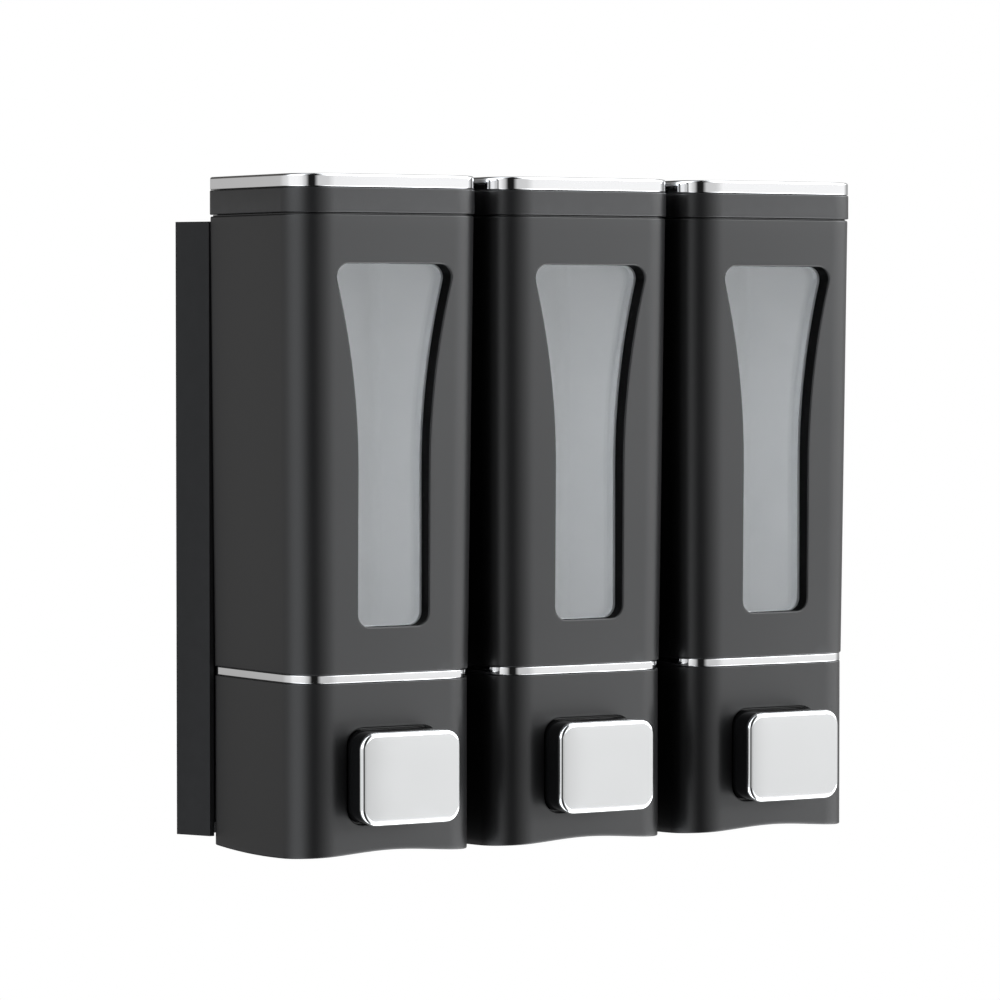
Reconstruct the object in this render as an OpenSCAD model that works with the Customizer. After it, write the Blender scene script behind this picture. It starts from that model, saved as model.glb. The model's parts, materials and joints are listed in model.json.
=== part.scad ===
// Three liquid soap dispensers on one wall plate.
//
// Each unit is a black upper casing with a flared sight window, a pump housing below it, a chrome
// trim band between the two and a hinged lid. A pale tank hangs in the casing. A push-button drives
// a horizontal piston pump under the tank, and the soap leaves through a nozzle in the floor.
//
// Units are laid out in their own frame first: x across from the centre line, y back from the front
// face, z up from the lowest edge. in_unit() moves them into the part's frame, whose origin is the
// centre of the wall plate's back face, with the front towards -Y.

/* [Layout] */
// Gap between neighbouring units
unit_gap = 3.9; // [3:0.1:16]

/* [Casing] */
// Width of a unit at the top of its casing
unit_w = 66.2; // [60:0.1:80]
// Depth of a unit from its front face to its rear edge
unit_d = 56; // [54:0.5:70]
// Height of the upper casing
upper_h = 137.4; // [120:0.1:170]
// Height of the lower casing
lower_h = 53.1; // [51:0.1:64]
// Draft of the upper casing on each side, over its height
draft = 1.3; // [0:0.1:2]
// Radius of the front vertical edges
front_r = 12; // [5:0.5:13]
// Radius of the rear vertical edges
rear_r = 1.5; // [0.5:0.1:3]
// Wall thickness of both casings
wall = 2.2; // [1.6:0.1:2.6]
// Thickness of the deck between the upper casing and the pump
deck_t = 4; // [3.5:0.1:6]
// How far the casing's back reaches into the wall plate
plug_d = 5.2; // [3:0.1:6]
// How much narrower that part is than the casing's foot, on each side
plug_inset = 1; // [0.6:0.1:2]
// Wall thickness of that part's sides
plug_wall = 1.6; // [1.2:0.1:2.2]
// How far the lower casing's face lies behind the upper casing's lower edge
lower_setback = 0.4; // [0.1:0.1:1]

/* [Lower edge] */
// Rise of the arch in the middle of the front's lower edge
arch_rise = 1.4; // [0:0.1:3]
// Rise of the side's lower edge towards the front
belly_rise = 1.2; // [0:0.1:3]
// Distance of the side's lowest point from the front face
belly_y = 30.2; // [24:0.1:36]
// Radius of the side's rear lower corner
heel_r = 3; // [1:0.5:6]
// Height of the floor above the lowest edge
floor_z = 4.2; // [3.5:0.1:8]

/* [Chrome trim] */
// Height of the band between the casings
band_h = 2.5; // [1.5:0.1:5]
// How far the band lies behind the casing above it
band_setback = 0.3; // [0:0.1:1]
// Height of the frame round the top of the lid
lid_trim_h = 4; // [2:0.1:6]
// Width of that frame, seen from above
lid_trim_w = 3; // [2:0.1:6]

/* [Lid] */
// Height of the lid's black skirt
lid_h = 8; // [7:0.1:12]
// Groove between the lid and the casing
seam = 0.5; // [0.3:0.1:1]
// Thickness of the lid's top panel
lid_t = 2.2; // [1.6:0.1:3]
// How far the lid's skirt stands out past the casing
lid_proud = 0.2; // [0:0.1:0.4]
// Depth of the lid's top panel below the chrome frame round it
panel_drop = 0.4; // [0.1:0.1:1]
// Width of the lid's seal
seal_w = 2.5; // [1.8:0.1:3.5]
// Thickness of the lid's seal above the casing's top
seal_h = 1.5; // [1:0.1:2.5]
// Radius of the hinge pin
hinge_pin_r = 1; // [0.8:0.1:1.5]
// Outer radius of the hinge knuckles
knuckle_r = 2.5; // [2.2:0.1:2.8]
// Length of the lid's knuckle
knuckle_l = 25; // [16:0.5:30]
// Length of each ear on the casing
ear_l = 5; // [3:0.5:7]
// Height of the hinge axis above the casing's top
hinge_rise = 4.1; // [3.5:0.1:5]

/* [Sight window] */
// Width of the window's straight lower part
window_w = 24.6; // [18:0.2:28]
// Height of the window
window_h = 108.7; // [90:0.1:110]
// Height of the window's lower edge above the band
window_rise = 14; // [11:0.1:20]
// Height above the window's lower edge at which the flare begins
flare_start = 46.5; // [30:0.5:60]
// Radius of the flare's arc
flare_r = 222; // [190:1:400]
// Corner radius of the window
window_r = 4; // [2:0.1:6]
// Depth of the bezel from the front face
bezel_d = 5.6; // [4.2:0.1:7]
// Wall of the bezel round the window
bezel_wall = 2.4; // [1.6:0.1:4]
// Thickness of the clear pane
pane_t = 1.6; // [1:0.1:2.5]
// How far the pane reaches past the window's edge
pane_lap = 3; // [2:0.1:4]

/* [Tank] */
// Wall of the tank
tank_wall = 1.8; // [1.2:0.1:2.5]
// Thickness of the tank's front wall
tank_front_t = 2.2; // [1.6:0.1:4]
// Outer corner radius of the tank
tank_r = 5; // [3:0.5:8]
// Height of the tank's rim below the casing's top
tank_drop = 1; // [0.5:0.1:3]
// Outer radius of the tank's neck
neck_r = 6; // [5:0.1:7]
// Bore radius of the tank's neck
neck_bore_r = 3.6; // [2:0.1:3.8]

/* [Button] */
// Width of the chrome cap
cap_w = 34.6; // [30:0.1:38]
// Height of the chrome cap
cap_h = 28; // [24:0.1:30]
// Thickness of the chrome cap
cap_t = 2.5; // [1.5:0.1:4]
// Corner radius of the cap
cap_r = 5; // [2:0.1:8]
// How far the cap's face stands in front of the unit's front face
cap_proud = 9.9; // [9:0.1:13]
// How much narrower the block is than the cap, on each side
cap_lap = 1.9; // [0.5:0.1:3]
// Height of the button's centre above the lowest edge
button_z = 24.9; // [24.5:0.1:30]
// Travel of the button
button_travel = 8; // [4:0.5:8.5]
// Length of the block behind the cap
block_l = 19.4; // [19:0.1:20]
// Wall of the block
block_wall = 2; // [1.2:0.1:2.4]

/* [Pump] */
// Bore radius of the pump's cylinder
pump_bore_r = 9; // [7:0.1:9]
// Wall of the pump's cylinder
pump_wall = 2; // [1.5:0.1:2]
// Distance from the front face to the cylinder's mouth
pump_y = 18; // [17:0.1:19]
// Depth of the cylinder's bore
pump_bore_l = 24; // [23:0.1:25]
// Radius of the piston's rod
rod_r = 3; // [2:0.1:3.5]
// Length of the piston's head
head_l = 5; // [4:0.1:6]
// Wire radius of the return spring
wire_r = 0.6; // [0.4:0.05:0.7]
// Turns of the return spring
spring_turns = 6.5; // [4:0.5:9]
// Outer radius of the nozzle
nozzle_r = 3; // [2:0.1:3.2]
// Bore radius of the nozzle's tip
nozzle_bore_r = 1.3; // [0.8:0.1:1.6]

/* [Wall plate] */
// Depth of the plate from the wall to its front edge
plate_d = 11.1; // [10:0.1:14]
// Height of the plate
plate_h = 188.1; // [150:0.1:189]
// Height of the plate's lower edge above the units' lowest edge
plate_rise = 3.4; // [1:0.1:8]
// Thickness of the plate's back
plate_t = 2.5; // [2:0.1:3.5]
// Thickness of the plate's flared sides
plate_skin = 1.5; // [1:0.1:2.5]
// How far the plate's sides flare out towards the wall
plate_flare = 5.5; // [2:0.1:8]
// Radius of the wall screw holes
screw_hole_r = 2.5; // [2:0.1:3]
// Height between the wall screw holes
screw_spacing_z = 130; // [80:1:140]

/* [Fits] */
// Gap between pieces that lie against each other
touch_gap = 0.1; // [0.05:0.05:0.2]
// Gap between the tank and the casing round it
tank_gap = 0.5; // [0.3:0.1:1]
// Gap round the button's block in its opening
button_gap = 0.6; // [0.4:0.1:1]
// Gap between the casings' rear edge and the wall plate's front edge
plate_gap = 0.5; // [0.3:0.1:1]
// Gap between the hinge's knuckles and the casing's back
hinge_gap = 0.2; // [0.1:0.1:0.5]
// Radial clearance of a pin or ring that runs in a bore
running_gap = 0.05; // [0.02:0.01:0.1]
// Radial clearance of a plain piece that passes through a hole
free_gap = 0.3; // [0.2:0.05:0.6]

/* [Hidden] */
SIDES = ["left", "middle", "right"];
UNIT_PIECES = [
    "upper_casing", "lower_casing", "trim_band", "lid_cap", "lid_trim", "lid_seal",
    "lid_hinge_pin", "tank", "sight_window", "button_cap", "button_block", "piston",
    "piston_seal", "return_spring", "pump_body", "inlet_valve", "outlet_valve", "nozzle",
    "neck_seal"
];

$fn = 48;
eps = 0.01;

pitch = unit_w + unit_gap;
wall_y = unit_d + plate_gap + plate_d;
base_z = -plate_rise - plate_h / 2;

// Heights in a unit, from its lowest edge
band_z = lower_h;
upper_z = band_z + band_h;
deck_z = upper_z + deck_t;
casing_top = upper_z + upper_h;
skirt_z = casing_top + seam;
trim_z = casing_top + lid_h;
lid_top = trim_z + lid_trim_h;
hinge_z = casing_top + hinge_rise;
hinge_y = unit_d + knuckle_r + hinge_gap;

// Widths and faces of the casings
foot_w = unit_w - 2 * draft;
lower_y = draft + lower_setback;
lower_w = foot_w - lower_setback / 2;
plug_w = foot_w - 2 * plug_inset;
plug_y = unit_d + plug_d;
plug_margin = 5;

// The window and the pane behind it
window_z = upper_z + window_rise;
flare_z = window_z + flare_start;
flare_angle = asin((window_z + window_h - window_r - flare_z) / (flare_r + window_r));
pane_y = bezel_d + touch_gap;
tank_y = pane_y + pane_t + touch_gap;

// The tank fills the casing
tank_w = plug_w - 2 * plug_wall - 2 * tank_gap;
tank_back = plug_y - wall - tank_gap / 2;
tank_z = deck_z + free_gap;
tank_top = casing_top - tank_drop;
tank_floor = tank_z + tank_wall;

// The button and its opening
cap_y = -cap_proud;
block_y = cap_y + cap_t;
block_inset = 0.1;
block_w = cap_w - 2 * cap_lap;
block_h = cap_h - 2 * block_inset;
block_r = cap_r - 2 * block_inset;
block_end = block_y + block_l;
boss_end = block_end - 2;
rod_y = block_end - 10;
lip_w = 1.5;
lip_t = 1.6;
lip_y = lower_y + wall + touch_gap;

// The pump's cylinder and the piston in it, on the button's axis
pump_r = pump_bore_r + pump_wall;
pump_bore_end = pump_y + pump_bore_l;
pump_end_t = 2.5;
pump_end = pump_bore_end + pump_end_t;
head_y = pump_y + 2;
ring_l = 2;
ring_y = head_y + (head_l - ring_l) / 2;
ring_t = 1.6;
ring_groove_r = pump_bore_r - ring_t;

// The inlet tower above the cylinder, which takes the tank's neck
port_y = pump_bore_end - 4;
port_r = 3.6;
seat_z = button_z + pump_bore_r + 6.5;
seat_t = 1.5;
chamber_h = 3;
socket_z = seat_z + seat_t + chamber_h;
tower_r = neck_r + 2.5;
tower_top = band_z - 1.5;
neck_end = socket_z + 1;
neck_ring_r = 0.55;
neck_ring_z = neck_end + 4 * neck_ring_r;
stem_hole_r = 1;
inlet_hole_r = 0.8;
inlet_ring_r = 2.4;

// The outlet below the cylinder, which holds the nozzle and its valve
outlet_r = 5.5;
outlet_bore_r = 2.2;
outlet_z = button_z - pump_r - 2.6;
outlet_socket_r = 3.6;
outlet_socket_z = outlet_z + 5.5;
valve_flange_t = 1.2;
nozzle_end = floor_z - 0.8;
nozzle_shoulder_t = 1.2;

// The ears that hold the pump to the front wall
pump_post_r = 3;
pump_ear_x = block_w / 2 + lip_w + pump_post_r + 0.7;
pump_ear_y = block_end + button_travel + 2.3;
pump_ear_t = 2.5;

// Screws between the casings, and their posts
post_inset = 5;
post_x = foot_w / 2 - wall - post_inset;
post_ys = [lower_y + 8, unit_d - 6];
post_r = 3.4;
post_z = 38;
post_floor = 2;
rib_t = 2;
casing_screw_r = 1.4;
casing_screw_l = 14;
screw_head_r = 2.6;
screw_head_h = 1.6;
pump_screw_r = 1.2;
pump_screw_l = 10;
pump_screw_head_r = 2.2;
pump_screw_head_h = 1.5;

// The cleats that hang a unit on the wall plate
cleat_w = 40;
cleat_rise = 104;
cleat_z = upper_z + cleat_rise;
cleat_gap = 0.6;
cleat_slope = wall_y - plate_t - plug_y - cleat_gap;
cleat_h = 6;

module in_unit(i) {
    translate([(i - 1) * pitch, -wall_y, base_z]) children();
}

// A plan outline centred on x, from y0 back to y1
module plan(w, y0, y1, front, rear) {
    union() {
        for (side = [-1, 1]) {
            translate([side * (w / 2 - front), y0 + front]) circle(front);
            translate([side * (w / 2 - rear), y1 - rear]) circle(rear);
        }
        translate([front - w / 2, y0]) square([w - 2 * front, y1 - y0 - rear]);
        translate([-w / 2, y0 + front]) square([w, y1 - y0 - front - rear]);
        translate([rear - w / 2, y1 - 2 * rear]) square([w - 2 * rear, 2 * rear]);
    }
}

module slab(z0, z1, w, y0, y1, front, rear) {
    translate([0, 0, z0]) linear_extrude(z1 - z0) plan(w, y0, y1, front, rear);
}

// A rectangle with round corners, standing in the XZ plane and extruded along y
module upright(w, h, r, y0, y1) {
    translate([0, y1, button_z]) rotate([90, 0, 0]) linear_extrude(y1 - y0) union() {
        for (x = [-1, 1]) for (z = [-1, 1])
            translate([x * (w / 2 - r), z * (h / 2 - r)]) circle(r);
        square([w - 2 * r, h], center = true);
        square([w, h - 2 * r], center = true);
    }
}

// A cylinder along y from y0 to y1
module along_y(r, y0, y1, x = 0, z = button_z) {
    translate([x, y1, z]) rotate([90, 0, 0]) cylinder(r = r, h = y1 - y0);
}

// A cylinder along x, centred
module along_x(r, l, y, z, x = 0) {
    translate([x - l / 2, y, z]) rotate([0, 90, 0]) cylinder(r = r, h = l);
}

// Points along an arc about a centre
function arc(cx, cz, r, from, to, steps) = [
    for (k = [0 : steps]) let (a = from + (to - from) * k / steps) [cx + r * cos(a), cz + r * sin(a)]
];

// The window's outline, grown by a margin: a straight foot, a flare on an arc and round corners
module window_outline(margin) {
    corner_r = window_r + margin;
    corner_x = window_w / 2 - window_r;
    flare_cx = window_w / 2 + flare_r;
    top_x = flare_cx - (flare_r + window_r) * cos(flare_angle);
    right = concat(
        arc(corner_x, window_z + window_r, corner_r, 270, 360, 6),
        arc(flare_cx, flare_z, flare_r - margin, 180, 180 - flare_angle, 14),
        arc(top_x, window_z + window_h - window_r, corner_r, -flare_angle, 90, 6)
    );
    left = [for (k = [len(right) - 1 : -1 : 0]) [-right[k][0], right[k][1]]];
    polygon(concat(right, left));
}

module window_block(margin, y0, y1) {
    translate([0, y1, 0]) rotate([90, 0, 0]) linear_extrude(y1 - y0) window_outline(margin);
}

// The tapered outside of the upper casing, or its inside when inset
module casing_taper(inset, z0, z1) {
    hull() {
        slab(z0, z0 + eps, foot_w - 2 * inset, draft + inset, unit_d - inset,
            front_r - inset / 2, rear_r);
        slab(z1 - eps, z1, unit_w - 2 * inset, inset, unit_d - inset, front_r - inset / 2, rear_r);
    }
}

// The part of a casing that plugs into the wall plate
module plug(z0, z1) {
    slab(z0, z1, plug_w, unit_d / 2, plug_y, rear_r, rear_r);
}

module plug_inside(z0, z1) {
    slab(z0, z1, plug_w - 2 * plug_wall, unit_d / 2, plug_y - wall, rear_r, rear_r);
}

module upper_casing() {
    color([0.06, 0.06, 0.065]) difference() {
        union() {
            difference() {
                union() {
                    casing_taper(0, upper_z, casing_top);
                    plug(upper_z + plug_margin, casing_top - plug_margin);
                }
                casing_taper(wall, deck_z, casing_top + 1);
                plug_inside(upper_z + plug_margin + wall, casing_top - plug_margin - wall);
            }
            intersection() {
                window_block(bezel_wall, 0, bezel_d);
                casing_taper(0, upper_z, casing_top);
            }
            hinge_ears();
            cleat_hook();
        }
        window_block(0, -1, bezel_d + 1);
        translate([0, port_y, upper_z - 1]) cylinder(r = neck_r + free_gap, h = deck_t + 2);
        casing_screw_places() {
            translate([0, 0, upper_z - 1]) cylinder(r = casing_screw_r + free_gap, h = deck_t + 2);
            translate([0, 0, deck_z - screw_head_h - touch_gap])
                cylinder(r = screw_head_r + free_gap, h = screw_head_h + touch_gap + eps);
        }
        along_x(hinge_pin_r + running_gap, unit_w, hinge_y, hinge_z);
    }
}

// Two ears on the casing's back that carry the hinge pin
module hinge_ears() {
    ear_foot = casing_top - plug_margin - wall + eps;
    for (side = [-1, 1]) {
        x = side * (knuckle_l / 2 + free_gap + ear_l / 2);
        along_x(knuckle_r, ear_l, hinge_y, hinge_z, x);
        translate([x - ear_l / 2, hinge_y - knuckle_r, ear_foot])
            cube([ear_l, 2 * knuckle_r, hinge_z - ear_foot]);
    }
}

// A sloping hook that drops behind the plate's rail
module cleat_hook() {
    z = cleat_z + cleat_h + cleat_gap + touch_gap;
    cleat(plug_y - eps, plug_y + cleat_slope, z + cleat_slope, z);
}

// The plate's rail, sloping up and forward
module cleat_rail() {
    back = wall_y - plate_t;
    cleat(back - cleat_slope, back + eps, cleat_z + cleat_slope, cleat_z);
}

// A slanted bar along x between two depths, its lower edge at z0 in front and z1 behind
module cleat(y0, y1, z0, z1) {
    translate([cleat_w / 2, 0, 0]) rotate([0, -90, 0]) linear_extrude(cleat_w)
        polygon([[z0, y0], [z0 + cleat_h, y0], [z1 + cleat_h, y1], [z1, y1]]);
}

module casing_screw_places() {
    for (x = [-post_x, post_x]) for (y = post_ys) translate([x, y, 0]) children();
}

// The lower edge curves up to the front and the back along the sides
module belly() {
    belly_r = (pow(belly_y, 2) + pow(belly_rise, 2)) / (2 * belly_rise + eps);
    translate([-unit_w, belly_y, belly_r]) rotate([0, 90, 0])
        cylinder(r = belly_r, h = 2 * unit_w, $fn = 200);
}

// The cut that lifts the middle of the front wall's and the back wall's lower edge
module arches() {
    arch_margin = 4;
    half = foot_w / 2 - arch_margin;
    steps = 24;
    wave = [for (k = [0 : steps])
        let (x = half * (2 * k / steps - 1))
        [x, belly_rise + arch_rise * (1 + cos(180 * x / half)) / 2]];
    for (y = [lower_y - 1, unit_d - wall - 0.5])
        translate([0, y + wall + 1.5, 0]) rotate([90, 0, 0]) linear_extrude(wall + 1.5)
            polygon(concat(wave, [[half, -1], [-half, -1]]));
}

// The side view of the lower casing, with its rear lower corner rounded
module side_profile() {
    translate([-unit_w, 0, 0]) rotate([90, 0, 90]) linear_extrude(2 * unit_w) union() {
        square([unit_d - heel_r, lower_h]);
        translate([0, heel_r]) square([unit_d, lower_h - heel_r]);
        translate([unit_d - heel_r, heel_r]) circle(heel_r);
    }
}

module lower_casing() {
    open_y = lower_y + wall;
    rib_l = post_inset + 0.5;
    color([0.06, 0.06, 0.065]) difference() {
        union() {
            difference() {
                union() {
                    intersection() {
                        slab(0, lower_h, lower_w, lower_y, unit_d, front_r, rear_r);
                        side_profile();
                        belly();
                    }
                    plug(plate_rise + 1, lower_h);
                }
                slab(floor_z + wall, lower_h + 1, lower_w - 2 * wall, open_y, unit_d - wall,
                    front_r - wall, rear_r);
                plug_inside(floor_z + wall, lower_h + 1);
                slab(-1, floor_z, lower_w - 2 * wall, open_y, unit_d - wall,
                    front_r - wall, rear_r);
                arches();
            }
            casing_screw_places() {
                translate([0, 0, post_z]) cylinder(r = post_r, h = upper_z - touch_gap - post_z);
            }
            for (side = [-1, 1]) for (y = post_ys)
                translate([side * (post_x + rib_l / 2) - rib_l / 2, y - rib_t / 2, post_z])
                    cube([rib_l, rib_t, lower_h - post_z]);
            for (side = [-1, 1])
                along_y(pump_post_r, open_y - 1, pump_ear_y - touch_gap, side * pump_ear_x);
        }
        upright(block_w + 2 * button_gap, block_h + 2 * button_gap, block_r + button_gap,
            -1, open_y + 1);
        translate([0, port_y, 0]) cylinder(r = nozzle_r + free_gap, h = floor_z + wall + 1);
        casing_screw_places()
            translate([0, 0, post_z + post_floor])
                cylinder(r = casing_screw_r + touch_gap, h = upper_z);
        for (side = [-1, 1])
            along_y(pump_screw_r + touch_gap, open_y + 3, pump_ear_y + 1, side * pump_ear_x);
    }
}

module trim_band() {
    color([0.85, 0.86, 0.88]) difference() {
        slab(band_z + touch_gap / 2, upper_z - touch_gap / 2, foot_w - 2 * band_setback,
            draft + band_setback, unit_d - band_setback, front_r - band_setback, rear_r);
        slab(band_z - 1, upper_z + 1, lower_w - 2 * wall, lower_y + wall, unit_d - wall,
            front_r - wall, rear_r);
    }
}

module lid_cap() {
    panel_z = trim_z - lid_t;
    flange_z = skirt_z + seal_h;
    web_h = knuckle_r + 1;
    color([0.06, 0.06, 0.065]) difference() {
        union() {
            difference() {
                slab(skirt_z, trim_z, unit_w + 2 * lid_proud, -lid_proud, unit_d, front_r, rear_r);
                slab(skirt_z - 1, panel_z, unit_w - 2 * wall, wall, unit_d - wall,
                    front_r - wall, rear_r);
            }
            slab(trim_z - eps, lid_top - panel_drop, unit_w - 2 * lid_trim_w - 2 * touch_gap,
                lid_trim_w + touch_gap, unit_d - lid_trim_w - touch_gap,
                front_r - lid_trim_w, rear_r);
            seal_frame(flange_z, panel_z + eps);
            along_x(knuckle_r, knuckle_l, hinge_y, hinge_z);
            translate([-knuckle_l / 2, unit_d - wall, hinge_z + knuckle_r - web_h])
                cube([knuckle_l, hinge_y - unit_d + wall, web_h]);
        }
        along_x(hinge_pin_r + running_gap, unit_w, hinge_y, hinge_z);
    }
}

// A frame that follows the tank's rim
module seal_frame(z0, z1) {
    seal_back = unit_d - wall - free_gap;
    difference() {
        slab(z0, z1, tank_w, tank_y, seal_back, tank_r, tank_r);
        slab(z0 - 1, z1 + 1, tank_w - 2 * seal_w, tank_y + seal_w, seal_back - seal_w,
            tank_r - seal_w, tank_r - seal_w);
    }
}

module lid_trim() {
    color([0.85, 0.86, 0.88]) difference() {
        slab(trim_z + touch_gap, lid_top, unit_w + lid_proud, -lid_proud / 2, unit_d, front_r, rear_r);
        slab(trim_z - 1, lid_top + 1, unit_w - 2 * lid_trim_w, lid_trim_w,
            unit_d - lid_trim_w, front_r - lid_trim_w + touch_gap, rear_r);
    }
}

module lid_seal() {
    color([0.25, 0.25, 0.26]) seal_frame(tank_top + touch_gap, skirt_z + seal_h - touch_gap);
}

module lid_hinge_pin() {
    pin_l = knuckle_l + 2 * free_gap + 2 * ear_l;
    color([0.6, 0.6, 0.62]) along_x(hinge_pin_r, pin_l, hinge_y, hinge_z);
}

module tank() {
    tank_inner = tank_w - 2 * tank_wall;
    neck_top = tank_z + eps;
    color([0.82, 0.83, 0.84]) difference() {
        union() {
            intersection() {
                slab(tank_z, tank_top, tank_w, tank_y, tank_back, tank_r, tank_r);
                union() {
                    slab(tank_z, tank_top, unit_w, 0, unit_d - wall - tank_gap, rear_r, rear_r);
                    slab(upper_z + plug_margin + wall + tank_gap,
                        casing_top - plug_margin - wall - tank_gap, unit_w, 0, plug_y, rear_r, rear_r);
                }
            }
            translate([0, port_y, neck_end]) cylinder(r = neck_r, h = neck_top - neck_end);
        }
        intersection() {
            slab(tank_floor, tank_top + 1, tank_inner, tank_y + tank_front_t, tank_back - tank_wall,
                tank_r - tank_wall, tank_r - tank_wall);
            union() {
                slab(tank_floor, tank_top + 1, unit_w, 0, unit_d - wall - tank_gap - tank_wall,
                    rear_r, rear_r);
                slab(upper_z + plug_margin + wall + tank_gap + tank_wall,
                    casing_top - plug_margin - wall - tank_gap - tank_wall, unit_w, 0, plug_y,
                    rear_r, rear_r);
            }
        }
        window_block(0, tank_y - 1, tank_y + tank_front_t + 1);
        translate([0, port_y, neck_end - 1]) cylinder(r = neck_bore_r, h = tank_floor - neck_end + 2);
        neck_groove();
    }
}

module neck_groove() {
    translate([0, port_y, neck_ring_z]) difference() {
        cylinder(r = neck_r + 1, h = 2.4 * neck_ring_r, center = true);
        cylinder(r = neck_r - 2 * neck_ring_r + free_gap / 2, h = 3 * neck_ring_r, center = true);
    }
}

module neck_seal() {
    color([0.3, 0.3, 0.3]) translate([0, port_y, neck_ring_z]) rotate_extrude()
        translate([neck_r - neck_ring_r + free_gap / 2, 0]) circle(neck_ring_r - eps, $fn = 16);
}

module sight_window() {
    color([0.8, 0.85, 0.88, 0.5]) window_block(pane_lap, pane_y, pane_y + pane_t);
}

module button_cap() {
    edge = 0.9;
    color([0.88, 0.89, 0.9]) union() {
        upright(cap_w, cap_h, cap_r, cap_y + edge, block_y - touch_gap);
        hull() {
            upright(cap_w, cap_h, cap_r, cap_y + edge, cap_y + edge + eps);
            upright(cap_w - 2 * edge, cap_h - 2 * edge, cap_r - edge, cap_y, cap_y + eps);
        }
    }
}

module button_block() {
    boss_r = rod_r + block_wall;
    color([0.04, 0.04, 0.045]) difference() {
        union() {
            difference() {
                union() {
                    upright(block_w, block_h, block_r, block_y, block_end);
                    upright(block_w + 2 * lip_w, block_h + 2 * lip_w, block_r + lip_w,
                        lip_y, lip_y + lip_t);
                }
                upright(block_w - 2 * block_wall, block_h - 2 * block_wall, block_r - block_wall,
                    block_y + block_wall, block_end + 1);
            }
            along_y(boss_r, block_y + eps, boss_end);
        }
        along_y(rod_r + touch_gap / 2, rod_y, block_end + 1);
    }
}

module piston() {
    color([0.9, 0.9, 0.9]) difference() {
        union() {
            along_y(rod_r, rod_y + touch_gap, head_y + eps);
            along_y(pump_bore_r - free_gap, head_y, head_y + head_l);
        }
        difference() {
            along_y(pump_bore_r + 1, ring_y, ring_y + ring_l);
            along_y(ring_groove_r, ring_y - 1, ring_y + ring_l + 1);
        }
    }
}

module piston_seal() {
    color([0.25, 0.25, 0.26]) difference() {
        along_y(pump_bore_r - running_gap, ring_y + touch_gap, ring_y + ring_l - touch_gap);
        along_y(ring_groove_r + running_gap, ring_y - 1, ring_y + ring_l + 1);
    }
}

// A coil of round wire between the button's block and the cylinder's mouth
module return_spring() {
    y0 = block_y + block_wall + wire_r + touch_gap;
    y1 = pump_y - wire_r - touch_gap;
    coil_r = pump_bore_r + pump_wall / 2;
    ring_steps = 16;
    wire_sides = 6;
    steps = spring_turns * ring_steps;
    points = [for (k = [0 : steps])
        let (a = 360 * k / ring_steps, y = y0 + (y1 - y0) * k / steps)
        for (j = [0 : wire_sides - 1])
            let (b = 360 * j / wire_sides, r = coil_r + wire_r * cos(b))
            [r * cos(a), y + wire_r * sin(b), r * sin(a)]];
    sides = [for (k = [0 : steps - 1]) for (j = [0 : wire_sides - 1])
        let (a = k * wire_sides + j, b = k * wire_sides + (j + 1) % wire_sides)
        [a, b, b + wire_sides, a + wire_sides]];
    first = [for (j = [wire_sides - 1 : -1 : 0]) j];
    last = [for (j = [0 : wire_sides - 1]) steps * wire_sides + j];
    color([0.7, 0.7, 0.72]) translate([0, 0, button_z])
        polyhedron(points, concat(sides, [first, last]), convexity = 8);
}

module pump_body() {
    color([0.75, 0.76, 0.78]) difference() {
        union() {
            along_y(pump_r, pump_y, pump_end);
            translate([0, port_y, button_z]) cylinder(r = tower_r, h = tower_top - button_z);
            translate([0, port_y, outlet_z]) cylinder(r = outlet_r, h = button_z - outlet_z);
            translate([-pump_ear_x, pump_ear_y, button_z - pump_post_r])
                cube([2 * pump_ear_x, pump_ear_t, 2 * pump_post_r]);
            for (side = [-1, 1])
                along_y(pump_post_r, pump_ear_y, pump_ear_y + pump_ear_t, side * pump_ear_x);
        }
        along_y(pump_bore_r, pump_y - 1, pump_bore_end);
        for (side = [-1, 1])
            along_y(pump_screw_r + free_gap / 2, pump_ear_y - 1, pump_ear_y + pump_ear_t + 1,
                side * pump_ear_x);
        translate([0, port_y, 0]) {
            translate([0, 0, button_z]) cylinder(r = port_r, h = seat_z - button_z);
            translate([0, 0, seat_z - 1]) cylinder(r = stem_hole_r, h = seat_t + 2);
            for (a = [45 : 90 : 315]) rotate(a) translate([inlet_ring_r, 0, seat_z - 1])
                cylinder(r = inlet_hole_r, h = seat_t + 2, $fn = 24);
            translate([0, 0, seat_z + seat_t]) cylinder(r = neck_bore_r, h = chamber_h + 1);
            translate([0, 0, socket_z]) cylinder(r = neck_r + free_gap / 2, h = tower_top);
            translate([0, 0, outlet_socket_z - 1])
                cylinder(r = outlet_bore_r, h = button_z - outlet_socket_z);
            translate([0, 0, outlet_z - 1])
                cylinder(r = outlet_socket_r, h = outlet_socket_z - outlet_z + 1);
        }
    }
}

// An umbrella valve that hangs under the inlet's seat
module inlet_valve() {
    disc_r = port_r - free_gap;
    disc_t = 0.8;
    stem_r = stem_hole_r - touch_gap;
    stem_l = seat_t + disc_t + 0.6;
    bulb_r = 1.3;
    bulb_h = 1.2;
    color([0.85, 0.6, 0.5]) translate([0, port_y, 0]) {
        translate([0, 0, seat_z - disc_t - touch_gap / 2]) cylinder(r = disc_r, h = disc_t);
        translate([0, 0, seat_z - disc_t]) cylinder(r = stem_r, h = stem_l);
        translate([0, 0, seat_z + seat_t + touch_gap / 2])
            cylinder(r1 = bulb_r, r2 = stem_r, h = bulb_h);
    }
}

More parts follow.
